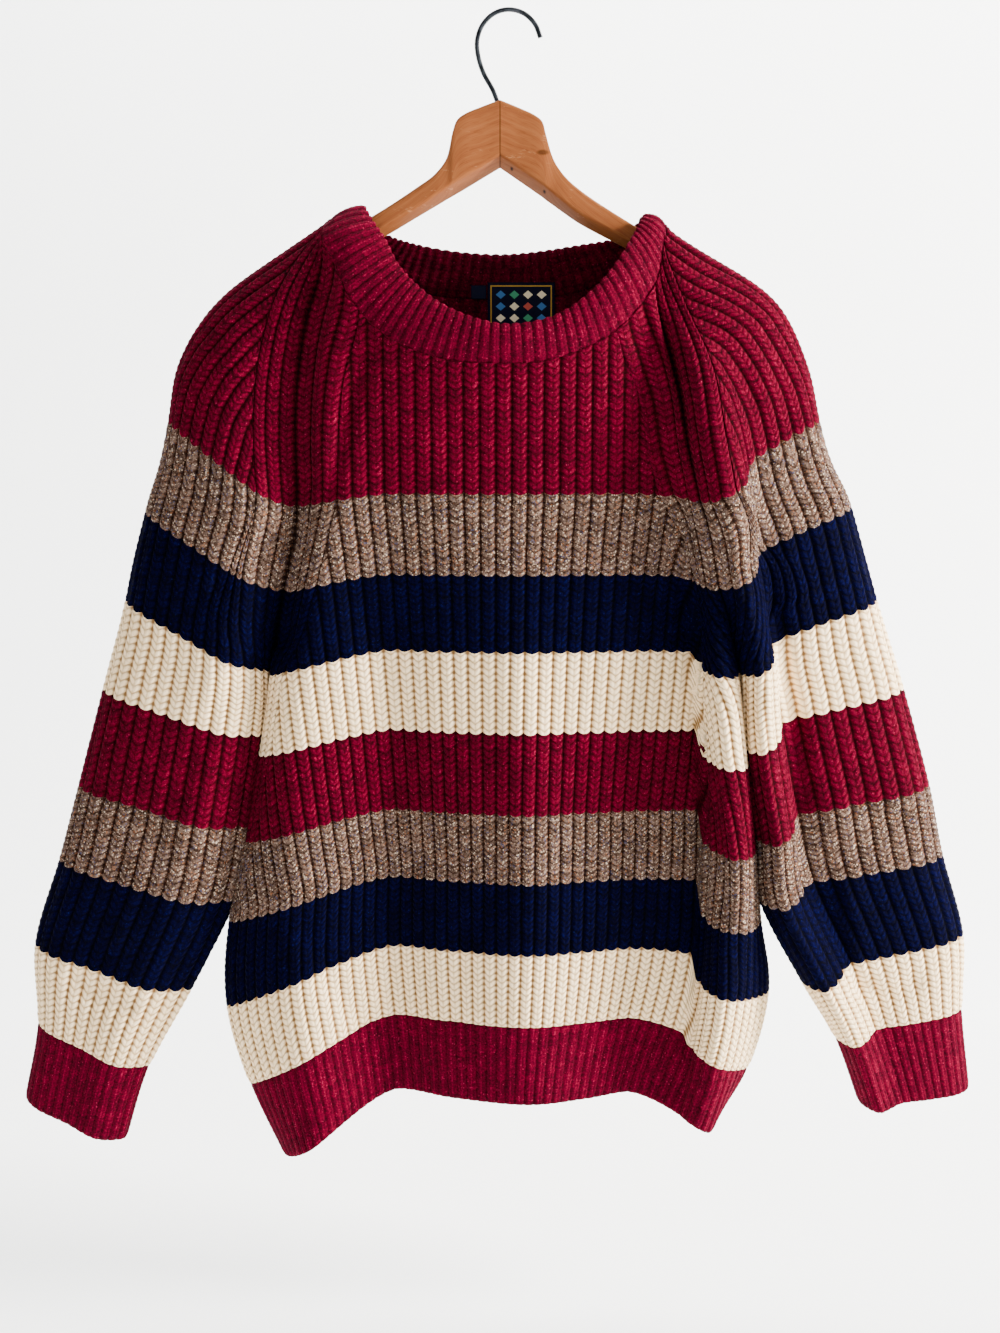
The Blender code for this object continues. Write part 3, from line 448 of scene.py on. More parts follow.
# Where the ribs of one half of a row lie. They keep their width from the middle out, and those
# that don't fit run out one after another beside the last few, which follow the edge.
def ribPlaces(arc, ribs, pitch, share, edgeRibs):
    full = max(pitch, arc / ribs)
    shaped = min(full, arc / (edgeRibs + 1))
    k = ribSteps(ribs)
    fromEdge = ribs - k
    inside = np.maximum(fromEdge - edgeRibs, 0)
    edgePlaces = arc - np.minimum(fromEdge, edgeRibs) * shaped - inside * full * share
    places = np.maximum(np.minimum(k * full, edgePlaces), 0)
    marks = places[::len(ribSamples)]
    width = np.repeat(np.diff(marks), len(ribSamples))
    proud = np.append(np.clip(width / (full * knit["fullWidthShare"]), 0, 1), 0)
    return places, proud


def baseGrid(rowLevels, sectionAt, middleAt, counts, pitchAt=None, rolled=False):
    places, prouds, evens = [], [], []
    pitches = [0.0, 0.0]
    for level in rowLevels:
        section = sectionAt(level)
        lengths = lengthsAlong(section[:, :2] if pitchAt else section)
        centre = np.interp(middleAt(section, level), np.arange(len(section)), lengths)
        arcs = (centre, lengths[-1] - centre)
        if pitchAt:
            pitches = [pitchAt(level)] * 2
        elif level <= armhole:
            pitches = [arc / count for arc, count in zip(arcs, counts)]
        closing = min(max((level - armhole) / (stripesTop - armhole), 0.0), 1.0)
        share = 0.0 if pitchAt else 1 - closing
        edgeRibs = [knit["edgeRibs"], readLevel(rollRibs, "ribs", level) if rolled else knit["edgeRibs"]]
        sides = [ribPlaces(*values) for values in zip(arcs, counts, pitches, (share, share), edgeRibs)]
        along = np.concatenate([centre - sides[0][0][::-1], centre + sides[1][0][1:]])
        prouds.append(np.concatenate([sides[0][1][::-1], sides[1][1][1:]]))
        places.append(readCurve(section, lengths, along))
        evenly = np.linspace(0, lengths[-1], knit["evenPlaces"])
        evens.append((readCurve(section, lengths, evenly), along / lengths[-1]))
    return np.array(places), np.array(prouds), evens


def evenNormals(evens, flip):
    even = np.array([e for e, _ in evens])
    normals = unit(np.cross(np.gradient(even, axis=1), np.gradient(even, axis=0)))
    return -normals if flip else normals


def readNormals(normals, evens):
    rows = []
    for row, (_, shares) in zip(normals, evens):
        rows.append(readCurve(row, np.linspace(0, 1, len(row)), shares))
    return unit(np.array(rows))


def evenRows(stack, lengths, wanted):
    return np.stack([readCurve(stack[:, c], lengths[:, c], wanted) for c in range(stack.shape[1])], axis=1)


def shearRows(stack, rise, last):
    rows = np.arange(last + 1)[:, None] + rise[None, :]
    rows = np.clip(rows, 0, stack.shape[0] - 1)
    low = np.minimum(rows.astype(int), stack.shape[0] - 2)
    share = (rows - low)[..., None]
    columns = np.arange(stack.shape[1])[None, :]
    return stack[low, columns] * (1 - share) + stack[low + 1, columns] * share, rows


def ribProfile(columns):
    k = np.arange(columns) % len(ribSamples)
    return np.array([ribSamples[i][0] for i in k]), np.array([ribSamples[i][1] for i in k])


def crossProfile(counts):
    samples = len(ribSamples)
    leftPlace, leftHeight = ribProfile(counts[0] * samples + 1)
    rightPlace, rightHeight = ribProfile(counts[1] * samples + 1)
    place = np.concatenate([leftPlace[::-1], rightPlace[1:]])
    height = np.concatenate([leftHeight[::-1], rightHeight[1:]])
    number = np.concatenate([ribSteps(counts[0])[::-1] * -1, ribSteps(counts[1])[1:]])
    return place, height, number


lowLevels = 1 + np.arange((stripesTop - 1) * rowsPerLevel + 1) / rowsPerLevel
yokeLevels = stripesTop + np.arange(1, yokeRows + 1) / yokeRows
weltLevels = np.arange(rowsPerLevel + 1) / rowsPerLevel

# Ribs to each side of the middle, in the panels and in their welts.
panels = {
    "front": {"folds": frontFolds, "side": "Front", "counts": (25, 29), "weltCounts": (30, 32),
              "flip": False, "rolled": True},
    "back": {"folds": backFolds, "side": "Back", "counts": (25, 25), "weltCounts": (29, 30),
             "flip": True, "rolled": False},
}
sleeves = {
    "left": {"table": leftSleeve, "lines": leftLines, "counts": (14, 14), "weltCounts": (16, 16), "flip": True},
    "right": {"table": rightSleeve, "lines": rightLines, "counts": (17, 14), "weltCounts": (20, 16),
              "flip": False},
}
parts = dict(panels, **sleeves)


def panelPitch(level):
    return readLevel(levels, "pitch", min(level, stripesTop))


def panelGrid(panel, rowLevels, counts, pitchAt):
    return baseGrid(rowLevels, lambda level: bodySection(level, panel["folds"], panel["side"]),
                    middleOfPanel, counts, pitchAt, panel["rolled"])


def sleeveGrid(side, sleeve, rowLevels, counts):
    return baseGrid(rowLevels, lambda level: sleeveSection(level, sleeve["table"], sleeve["lines"], side),
                    middleOfSleeve, counts)


def shareEdge(first, second):
    mean = unit(first + second)
    first[...] = mean
    second[...] = mean


def sewSeams(normals, rowLevels):
    for end, side in ((0, "left"), (-1, "right")):
        for r, level in enumerate(rowLevels):
            if level <= armhole:
                shareEdge(normals["front"][r, end], normals["back"][r, end])
                shareEdge(normals[side][r, 0], normals[side][r, -1])
            else:
                shareEdge(normals["front"][r, end], normals[side][r, 0])
                shareEdge(normals["back"][r, end], normals[side][r, -1])


def makeStacks(rowLevels, countsName, pitchAt=None):
    grids = {}
    for name, panel in panels.items():
        grids[name] = panelGrid(panel, rowLevels, panel[countsName], pitchAt)
    for name, sleeve in sleeves.items():
        grids[name] = sleeveGrid(name, sleeve, rowLevels, sleeve[countsName])
    normals = {name: evenNormals(grid[2], parts[name]["flip"]) for name, grid in grids.items()}
    sewSeams(normals, rowLevels)
    stacks = {}
    for name, (places, proud, evens) in grids.items():
        directions = readNormals(normals[name], evens)
        stacks[name] = np.concatenate([places, directions, proud[..., None]], axis=-1)
    return stacks


def spreadYoke(stack):
    bottom = len(lowLevels) - 1
    yoke = stack[bottom:]
    steps = np.linalg.norm(np.diff(yoke[..., :3], axis=0), axis=2)
    lengths = np.vstack([np.zeros(steps.shape[1]), np.cumsum(steps, axis=0)])
    half = knit["courseHeight"] / 2
    wanted = np.arange(1, math.ceil(lengths[-1].max() / half) + 1) * half
    return np.concatenate([stack[:bottom + 1], evenRows(yoke, lengths, wanted)])


def addGrid(bm, layers, places, values, materialOfRow, turned):
    rows, columns = places.shape[:2]
    firstFace = len(bm.faces)
    verts = bmesh.ops.create_grid(bm, x_segments=columns - 1, y_segments=rows - 1, size=1.0)["verts"]
    for vert, place in zip(verts, (places * mm).reshape(-1, 3).tolist()):
        vert.co = place
    for name, layer in layers.items():
        for vert, value in zip(verts, values[name].reshape(-1).tolist()):
            vert[layer] = value
    bm.faces.ensure_lookup_table()
    for i, face in enumerate(bm.faces[firstFace:]):
        face.material_index = materialOfRow(i // (columns - 1))
        face.smooth = True
    if turned:
        bmesh.ops.reverse_faces(bm, faces=bm.faces[firstFace:])
    return [verts[r * columns:(r + 1) * columns] for r in range(rows)]


def closeRim(bm, fine, coarse, ratio):
    for m in range(len(fine) - 1):
        a = (m + ratio // 2) // ratio
        b = (m + 1 + ratio // 2) // ratio
        bm.faces.new((fine[m], fine[m + 1], coarse[a]))
        if b != a:
            bm.faces.new((fine[m + 1], coarse[b], coarse[a]))


def finishMesh(bm, name, materials, joined=()):
    bmesh.ops.remove_doubles(bm, verts=list(joined), dist=mergeDistance)
    bmesh.ops.recalc_face_normals(bm, faces=bm.faces)
    mesh = bpy.data.meshes.new(name)
    bm.to_mesh(mesh)
    bm.free()
    piece = bpy.data.objects.new(name, mesh)
    bpy.context.scene.collection.objects.link(piece)
    for material in materials:
        mesh.materials.append(material)
    return piece


# Creases, on the front (side -1) or the back (1): troughs have a negative depth.
creases = tableOf("name side width depth path", [
    ("left raglan", -1, 9, -5, [(-109, -151), (-120, -165), (-133, -209), (-137, -255),
     (-139, -302), (-142, -342)]),
    ("left raglan ribs", -1, 9, 2.4, [(-100, -165), (-116, -209), (-122, -255), (-127, -309)]),
    ("left shaping", -1, 6, -2.6, [(-86, -206), (-104, -255), (-116, -302), (-125, -342)]),
    ("left underarm", -1, 9, -4, [(-141, -329), (-147, -363), (-152, -397), (-158, -432)]),
    ("left sleeve top", -1, 12, -2.2, [(-171, -190), (-164, -222), (-172, -269), (-182, -309)]),
    ("left sleeve drag", -1, 9, -2.6, [(-152, -336), (-175, -363), (-206, -384)]),
    ("left sleeve lower drag", -1, 10, -2.2, [(-168, -425), (-195, -460), (-220, -502), (-236, -552)]),
    ("left elbow", -1, 8, -2.6, [(-290, -524), (-263, -542), (-236, -563)]),
    ("left forearm ridge", -1, 9, 2.2, [(-250, -560), (-267, -603), (-281, -651)]),
    ("left wrist", -1, 9, -3, [(-315, -658), (-293, -677), (-261, -686)]),
    ("right raglan", -1, 10, -4, [(87, -179), (93, -201), (102, -247), (111, -302), (117, -342),
     (123, -390), (128, -446)]),
    ("right second crease", -1, 8, -1.2, [(105, -188), (110, -215), (114, -243), (124, -283),
     (130, -321), (135, -356)]),
    ("right fold crest", -1, 12, 3, [(121, -201), (132, -229), (145, -257), (155, -311), (163, -363)]),
    ("right fold outside", -1, 9, -2.2, [(151, -209), (163, -249), (174, -289), (176, -336), (173, -384)]),
    ("body tongue", -1, 6.5, -4.5, [(121, -363), (128, -418), (132, -474), (141, -538),
     (150, -596), (162, -654)]),
    ("sleeve tongue", -1, 7, -4, [(174, -363), (186, -418), (199, -474), (206, -531), (214, -588)]),
    ("right sleeve top", -1, 12, -2.4, [(174, -203), (188, -242), (196, -289), (203, -336)]),
    ("right elbow", -1, 9, -2.6, [(238, -531), (267, -547), (291, -548)]),
    ("right forearm", -1, 9, 2, [(237, -574), (247, -625), (259, -677)]),
    ("right wrist", -1, 8, -3, [(243, -666), (268, -677), (303, -666)]),
    ("left gap", -1, 11, -3, [(-158, -400), (-167, -445), (-175, -492), (-188, -552),
     (-200, -608), (-210, -655)]),
    ("front left drag", -1, 12, -2.2, [(-114, -363), (-93, -418), (-80, -488), (-76, -560)]),
    ("front middle", -1, 16, 2, [(5, -404), (10, -474), (16, -552), (17, -632)]),
    ("front right drag", -1, 12, -2.2, [(109, -363), (96, -425), (89, -502), (89, -588)]),
    ("front low left", -1, 9, -2.4, [(-146, -603), (-131, -647), (-110, -684), (-84, -707)]),
    ("front low middle", -1, 11, -1.8, [(-26, -603), (-32, -654), (-40, -707)]),
    ("front chest", -1, 14, -1.6, [(-52, -275), (-26, -289), (8, -290), (42, -279)]),
    ("back left raglan", 1, 8, -4, [(-118, -165), (-136, -215), (-146, -290), (-150, -350)]),
    ("back right raglan", 1, 8, -4, [(98, -180), (112, -230), (124, -300), (132, -360)]),
    ("back left drag", 1, 12, -2.6, [(-140, -400), (-116, -470), (-98, -560), (-92, -640)]),
    ("back right drag", 1, 13, -2.4, [(132, -390), (116, -450), (108, -540), (112, -620)]),
    ("back centre", 1, 15, -2.2, [(8, -380), (14, -470), (20, -580), (16, -680)]),
    ("back waist left", 1, 9, -2, [(-180, -560), (-140, -590), (-100, -596)]),
    ("back waist right", 1, 9, -2.4, [(172, -520), (140, -552), (98, -566)]),
    ("back left sleeve", 1, 10, -2.4, [(-184, -350), (-214, -420), (-232, -500), (-252, -580)]),
    ("back left elbow", 1, 9, -2.8, [(-300, -540), (-268, -556), (-232, -572)]),
    ("back right sleeve", 1, 10, -2.6, [(170, -340), (196, -420), (218, -510), (236, -590)]),
    ("back right elbow", 1, 9, -2.6, [(294, -560), (262, -574), (224, -586)]),
])
# Points to each stretch of a crease's path, how far cloth may face away from the crease's side and
# still be creased, and how soon the crease fades in from its ends.
creaseShape = {"steps": 16, "facingOffset": 0.3, "facingGain": 2, "endFade": 2}


def creaseOffset(places, normals):
    offset = np.zeros(places.shape[:2])
    for crease in creases:
        path = denseCurve(crease.path, steps=creaseShape["steps"])
        shares = lengthsAlong(path) / lengthsAlong(path)[-1]
        nearest = np.full(offset.shape, np.inf)
        along = np.zeros(offset.shape)
        for point, share in zip(path, shares):
            away = np.hypot(places[..., 0] - point[0], places[..., 2] - point[1])
            along = np.where(away < nearest, share, along)
            nearest = np.minimum(nearest, away)
        facing = creaseShape["facingOffset"] + creaseShape["facingGain"] * crease.side * normals[..., 1]
        facing = np.clip(facing, 0, 1)
        fade = np.clip(np.sin(np.pi * along) * creaseShape["endFade"], 0, 1)
        offset += crease.depth * fade * facing * np.exp(-(nearest / crease.width)**2)
    return offset


# What the yarns read from each vertex: place among ribs and courses, height in the rib, the
# outside, and how strongly single stitches show.
knitLayers = ["rib", "course", "depth", "outside", "stitches"]


def makeCloth(piece, stack, counts, materials, materialOfCourse):
    place, height, number = crossProfile(counts)
    rise = (np.abs(place * 2 - 1)**knit["chevronPower"] - 1) * knit["chevron"] * 2
    top = len(stack) - 1
    coarse = knit["insideRows"]
    last = math.ceil((top + knit["chevron"] * 2) / coarse) * coarse
    sheared, rows = shearRows(stack, rise, last)
    base = sheared[..., :3]
    normals = unit(sheared[..., 3:6])
    proud = sheared[..., 6]
    steps = np.arange(last + 1)
    stitch = np.where(steps % 2 == 0, knit["purlHeight"], knit["knitHeight"])[:, None] * (height > 0)[None, :]
    relief = knit["furrow"] + height * (knit["ribHeight"] - knit["furrow"]) + stitch * knit["stitchDepth"]
    offset = proud * relief * piece.get("relief", 1.0)
    fromBottom = rows / 2
    fromTop = (top - rows) / 2
    inward = np.zeros(offset.shape)
    for edge, away in (("bottom", fromBottom), ("top", fromTop)):
        if edge in piece["joined"]:
            offset *= knit["joinedRelief"] + (1 - knit["joinedRelief"]) * np.clip(away, 0, 1)
        if edge in piece["rounded"]:
            inward += knit["edgeTurn"] * np.clip(1 - away / knit["turnedCourses"], 0, 1)**2
    ring = piece.get("ring")
    if not ring:
        offset[:, 0] = offset[:, -1] = knit["seamTuck"]
    moved = creaseOffset(base, normals)
    outer = base + normals * (offset + moved - inward)[..., None]
    depth = moved - knit["wall"] + inward
    inner = (base + normals * depth[..., None])[::coarse, ::len(ribSamples)]
    values = dict(zip(knitLayers, (
        np.broadcast_to(number, offset.shape),
        np.broadcast_to((steps / 2)[:, None], offset.shape),
        np.broadcast_to(height[None, :], offset.shape) * proud,
        np.ones(offset.shape),
        np.full(offset.shape, piece.get("stitches", 1.0)),
    )))
    insideValues = {name: value[::coarse, ::len(ribSamples)] for name, value in values.items()}
    insideValues["depth"] = np.full(inner.shape[:2], knit["insideDepth"])
    insideValues["outside"] = insideValues["stitches"] = np.zeros(inner.shape[:2])
    bm = bmesh.new()
    layers = {name: bm.verts.layers.float.new(name) for name in values}
    outerVerts = addGrid(bm, layers, outer, values, lambda r: materialOfCourse(r // 2), False)
    innerVerts = addGrid(bm, layers, inner, insideValues, lambda r: materialOfCourse(r * coarse // 2), True)
    joined = []
    for end in (0, -1):
        closeRim(bm, outerVerts[end], innerVerts[end], len(ribSamples))
    for end in (0, -1):
        if ring:
            joined += [row[end] for row in outerVerts + innerVerts]
        else:
            closeRim(bm, [row[end] for row in outerVerts], [row[end] for row in innerVerts], coarse)
    made = finishMesh(bm, piece["name"], materials, joined)
    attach(made, "root")
    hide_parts(piece["replaces"])
    return made


def linear(hexColour):
    channels = [int(hexColour[i:i + 2], 16) / 255 for i in (0, 2, 4)]
    return tuple(c / 12.92 if c <= 0.04045 else ((c + 0.055) / 1.055)**2.4 for c in channels) + (1.0,)


# One material's nodes. Colours are hex, and a plain number in a ramp is a grey.
class Nodes:
    def __init__(self, name):
        self.material = bpy.data.materials.new(name)
        self.material.use_nodes = True
        self.tree = self.material.node_tree

    def put(self, node, inputs):
        for key, value in inputs.items():
            key = int(key[1:]) if key[0] == "i" and key[1:].isdigit() else key.replace("_", " ")
            if isinstance(value, bpy.types.NodeSocket):
                self.tree.links.new(value, node.inputs[key])
            else:
                node.inputs[key].default_value = linear(value) if isinstance(value, str) else value
        return node

    def add(self, kind, settings=None, **inputs):
        node = self.tree.nodes.new("ShaderNode" + kind)
        for key, value in (settings or {}).items():
            setattr(node, key, value)
        return self.put(node, inputs)

    def maths(self, operation, a, b=0.0, c=0.0):
        return self.add("Math", {"operation": operation}, i0=a, i1=b, i2=c).outputs[0]

    def vector(self, operation, a, b=(0, 0, 0)):
        return self.add("VectorMath", {"operation": operation}, i0=a, i1=b).outputs

    def times(self, a, b, plus=None):
        return self.maths("MULTIPLY", a, b) if plus is None else self.maths("MULTIPLY_ADD", a, b, plus)

    def minus(self, a, b):
        return self.maths("SUBTRACT", a, b)

    def wave(self, value, turns=1):
        return self.maths("SINE", self.times(value, 2 * math.pi * turns))

    def mix(self, factor, a, b, blend="MIX"):
        settings = {"data_type": "RGBA", "blend_type": blend}
        return self.add("Mix", settings, i0=factor, i6=a, i7=b).outputs[2]

    def ramp(self, factor, stops, interpolation="LINEAR"):
        node = self.add("ValToRGB", None, Fac=factor)
        node.color_ramp.interpolation = interpolation
        elements = node.color_ramp.elements
        while len(elements) < len(stops):
            elements.new(0.5)
        for element, (position, colour) in zip(elements, stops):
            element.position = position
            element.color = linear(colour) if isinstance(colour, str) else (colour,) * 3 + (1,)
        return node.outputs[0]

    def coords(self, kind="Object"):
        return self.add("TexCoord").outputs[kind]

    def noise(self, coords, scale, detail, **inputs):
        return self.add("TexNoise", None, Vector=coords, Scale=scale, Detail=detail, **inputs).outputs["Fac"]

    def cell(self, x, y):
        return self.add("CombineXYZ", None, X=self.maths("FLOOR", x), Y=self.maths("FLOOR", y)).outputs[0]

    def bump(self, height, strength, distance):
        return self.add("Bump", None, Height=height, Strength=strength, Distance=distance).outputs[0]

    def finish(self, **inputs):
        self.put(self.tree.nodes["Principled BSDF"], inputs)
        return self.material


# A knitted stitch: how far its legs come down to a point, and where each leg lies in half a rib.
stitchShape = {"point": 0.45, "fullness": 0.7, "legPlace": 0.42, "legWidth": 0.56}
# Painted highlights on the stitches and on the crests of the narrow welt ribs, and how much
# lighter the painted furrow shade is on welts; then the yarn's ply (three strands, lying aslant),
# its fibres and the height of each in the bump. Real fibres are 0.02 mm thick, too fine to show, so
# they are drawn coarser, at 0.7 mm.
woolLook = {"stitchHighlight": 0.1, "crestSlope": -4.0, "crestHighlight": 0.26, "weltFurrowShade": -0.45,
            "strands": 3.0, "slant": 4.5, "plyHeight": 0.07, "fibresPerMetre": 1500.0, "fibreHeight": 0.35,
            "stitchHeight": 1.1, "insideHeight": 1.2, "purlShare": 0.2, "bump": 0.8, "bumpDepth": 0.0009}


def stitchForm(nodes, rib, course):
    across = nodes.times(nodes.maths("FRACT", rib), 2.0, -1.0)
    fromMiddle = nodes.maths("ABSOLUTE", across)
    lowered = nodes.times(nodes.minus(1.0, fromMiddle), stitchShape["point"])
    phase = nodes.maths("FRACT", nodes.maths("ADD", course, lowered))
    arch = nodes.maths("MAXIMUM", nodes.wave(phase, 0.5), 0.001)
    arch = nodes.maths("POWER", arch, stitchShape["fullness"])
    aside = nodes.maths("DIVIDE", nodes.minus(fromMiddle, stitchShape["legPlace"]), stitchShape["legWidth"])
    leg = nodes.minus(1.0, nodes.times(aside, aside))
    return nodes.times(arch, nodes.maths("MAXIMUM", leg, 0.0)), fromMiddle


# Woollen yarn, matt and slightly hairy. It gives the eye thick soft stitches with a marl of near
# shades and stray flecks of other fibre, with painted highlights on the stitches and welt rib crests
# and painted shade in the furrows between the ribs, darker in a row of small holes, in the notches
# between stitches and along the inside's ridges.
def woolYarn(yarn):
    nodes = Nodes("wool yarn " + yarn.name)
    coords = nodes.coords()
    rib, course, depth, outside, stitches = [
        nodes.add("Attribute", {"attribute_name": name}).outputs["Fac"] for name in knitLayers]
    stitch, fromMiddle = stitchForm(nodes, rib, course)
    shown = nodes.times(stitch, stitches)
    settings = {"noise_dimensions": "3D"}
    stitchTone = nodes.add("TexWhiteNoise", settings, Vector=nodes.cell(rib, course)).outputs["Value"]
    marl = nodes.noise(coords, yarn.marl, 3.0, Roughness=0.65)
    tone = nodes.times(stitchTone, yarn.stitchTone, marl)
    # Painted highlight where each stitch stands highest.
    tone = nodes.times(shown, woolLook["stitchHighlight"], tone)
    ribbed = nodes.minus(outside, stitches)
    # Painted highlight along the middle of each welt rib's crest.
    crest = nodes.maths("MAXIMUM", nodes.times(fromMiddle, woolLook["crestSlope"], 1.0), 0.0)
    tone = nodes.times(nodes.times(crest, ribbed), woolLook["crestHighlight"], tone)
    tone = nodes.minus(tone, (yarn.stitchTone + woolLook["stitchHighlight"]) / 2)
    colour = nodes.ramp(tone, [(0.30, yarn.dark), (0.50, yarn.main), (0.68, yarn.light), (0.82, yarn.lightest)])
    flecks = nodes.add("TexVoronoi", {"feature": "F1"}, Vector=coords, Scale=yarn.flecksPerMetre, Randomness=1.0)
    picks = nodes.add("SeparateColor", None, Color=flecks.outputs["Color"])
    near = nodes.maths("LESS_THAN", flecks.outputs["Distance"], yarn.fleckSize)
    chosen = nodes.maths("LESS_THAN", picks.outputs[0], yarn.fleckShare)
    stops = [(i / len(yarn.fleckColours), fleck) for i, fleck in enumerate(yarn.fleckColours)]
    fleckColour = nodes.ramp(picks.outputs[1], stops, "CONSTANT")
    colour = nodes.mix(nodes.times(nodes.times(near, chosen), yarn.fleckStrength), colour, fleckColour)
    # Painted shade in the furrows between the ribs, darker in a row of small holes each course and lighter on
    # welts.
    purls = nodes.wave(course)
    holes = nodes.times(nodes.times(purls, outside), yarn.holes, depth)
    furrow = nodes.ramp(holes, [(0.0, yarn.furrow), (0.5, 1)])
    colour = nodes.mix(nodes.times(ribbed, woolLook["weltFurrowShade"], 1.0), colour, furrow, "MULTIPLY")
    inside = nodes.minus(1.0, outside)
    ridges = nodes.wave(rib)
    # Painted shade in the furrows between the inside's ridges.
    insideRidgeShade = nodes.ramp(nodes.times(ridges, inside, 1.0), [(0.3, 0.6), (0.95, 1)])
    colour = nodes.mix(1.0, colour, insideRidgeShade, "MULTIPLY")
    # Painted shade in the notches between the stitches.
    notch = nodes.times(nodes.minus(1.0, stitch), stitches)
    colour = nodes.mix(1.0, colour, nodes.ramp(notch, [(0.25, 1), (0.85, yarn.notch)]), "MULTIPLY")
    ply = nodes.wave(nodes.times(course, woolLook["strands"], nodes.times(fromMiddle, woolLook["slant"])))
    fibres = nodes.noise(coords, woolLook["fibresPerMetre"], 4.0, Roughness=0.7)
    height = nodes.times(ply, woolLook["plyHeight"], nodes.times(fibres, woolLook["fibreHeight"]))
    height = nodes.times(shown, woolLook["stitchHeight"], height)
    backRows = nodes.times(purls, woolLook["purlShare"], ridges)
    height = nodes.times(nodes.times(backRows, inside), woolLook["insideHeight"], height)
    return nodes.finish(Base_Color=colour, Roughness=0.9, Specular_IOR_Level=0.03, Sheen_Weight=yarn.sheen,
                        Sheen_Roughness=0.45, Sheen_Tint=yarn.light,
                        Normal=nodes.bump(height, woolLook["bump"], woolLook["bumpDepth"]))


# Marl and flecks are counted per metre. Real ones are about 0.3 to 0.5 mm, too fine to show from
# here, so they are drawn coarser: marl at 1.1 to 1.6 mm and flecks at 1.2 to 1.9 mm.
# The furrow and notch colours and the holes column set the painted shade in the furrows, the notches and the
# small holes.
yarns = [woolYarn(yarn) for yarn in tableOf(
    "name dark main light lightest furrow notch holes sheen marl stitchTone "
    "flecksPerMetre fleckSize fleckShare fleckStrength fleckColours", [
        ("burgundy marl", "28000b", "480015", "62001e", "8a1038", "a08890", "c2a4ac", 0.22, 0.03, 700.0, 0.12,
         640.0, 0.32, 0.16, 0.4, ("a8264c", "26000a", "8a1438")),
        ("cream", "e8ca9a", "fddfb2", "ffe7c0", "ffefcf", "a09080", "c8baa8", 0.34, 0.03, 620.0, 0.08,
         520.0, 0.25, 0.08, 0.35, ("d4b684", "eedcba")),
        ("navy", "000008", "000015", "010126", "04083c", "8c8c98", "b4b4c0", 0.2, 0.01, 700.0, 0.12,
         560.0, 0.3, 0.1, 0.3, ("101c58", "000008")),
        ("oatmeal tweed", "2e221c", "554339", "715b4f", "947e6e", "94827a", "b8a49a", 0.22, 0.02, 900.0, 0.16,
         860.0, 0.48, 0.62, 0.7, ("cab8a2", "925a36", "384264", "261a16", "ac9682", "58483e")),
    ])]
# The stripes from the welt up to the yoke, as places in yarns. Above them all is burgundy.
stripeYarns = [1, 2, 3, 0, 1, 2, 3]
print("made the yarns")


def yarnOfCourse(course):
    stripe = course // coursesPerLevel
    return stripeYarns[stripe] if stripe < len(stripeYarns) else 0


def plainYarn(course):
    return 0


stacks = makeStacks(np.concatenate([lowLevels, yokeLevels]), "counts", panelPitch)
print("worked out the panels and sleeves")
arms = ["hanger_left_arm", "hanger_right_arm"]
# Each knitted part and the welt or cuff below it, with the solids that they replace.
garment = tableOf("key panel panelSolid welt weltSolid restsOn", [
    ("front", "front_panel_knit", "front_panel", "front_hem_knit", "front_hem_rib", arms),
    ("back", "back_panel_knit", "back_panel", "back_hem_knit", "back_hem_rib", arms),
    ("left", "sleeve_left_knit", "sleeve_left", "cuff_left_knit", "cuff_left", arms[:1]),
    ("right", "sleeve_right_knit", "sleeve_right", "cuff_right_knit", "cuff_right", arms[1:]),
])
for row in garment:
    piece = {"name": row.panel, "replaces": row.panelSolid, "restsOn": row.restsOn,
             "joined": ("bottom", "top"), "rounded": ()}
    makeCloth(piece, spreadYoke(stacks[row.key]), parts[row.key]["counts"], yarns, yarnOfCourse)

welts = makeStacks(weltLevels, "weltCounts")
for row in garment:
    piece = {"name": row.welt, "replaces": row.weltSolid, "restsOn": row.restsOn,
             "joined": ("top",), "rounded": ("bottom",), "relief": 0.5, "stitches": 0.3}
    makeCloth(piece, welts[row.key], parts[row.key]["weltCounts"], yarns[:1], plainYarn)

neckband = {"name": "neckband_knit", "replaces": "neckband", "restsOn": arms, "joined": ("bottom",),
            "rounded": ("top",), "ring": True, "ribs": 84, "courses": 7, "relief": 0.5, "stitches": 0.3,
            "scallop": 0.7}


def neckbandStack():
    lengths = lengthsAlong(neckSeam)
    ribs = ribSteps(neckband["ribs"])
    steps = ribs / neckband["ribs"] * lengths[-1]
    seam = readCurve(neckSeam, lengths, steps)
    top = readCurve(neckTop, lengths, steps)
    loops = 0.5 - 0.5 * np.cos(2 * math.pi * ribs)
    top = top + unit(top - seam) * loops[:, None] * neckband["scallop"]
    out = unit(readCurve(neckOut, lengths, steps))
    rows = []
    for t in np.linspace(0, 1, neckband["courses"] * 2 + 1):
        rows.append(seam * (1 - t) + top * t + out * knit["bandBulge"] * math.sin(math.pi * t))
    places = np.array(rows)
    along = np.gradient(np.concatenate([places[:, -2:-1], places, places[:, 1:2]], axis=1), axis=1)[:, 1:-1]
    normals = unit(np.cross(along, np.gradient(places, axis=0)))
    return np.concatenate([places, normals, np.ones(places.shape[:2] + (1,))], axis=-1)


makeCloth(neckband, neckbandStack(), (0, neckband["ribs"]), yarns[:1], plainYarn)
print("made the knitted pieces")

# The glue line between the arms, two nail holes in the underside of the right one, and a knot.
woodMarks = tableOf("place size shade", [
    ((-5.3, 0, -80), (0.6, 60, 60), 0.4),
    ((2.4, -3, -102.6), (1.7, 5, 2.6), 0.03),
    ((24.5, -3, -117.6), (1.7, 5, 2.6), 0.03),
    ((23.5, -8, -91.5), (5.0, 4, 2.2), 0.4),
])


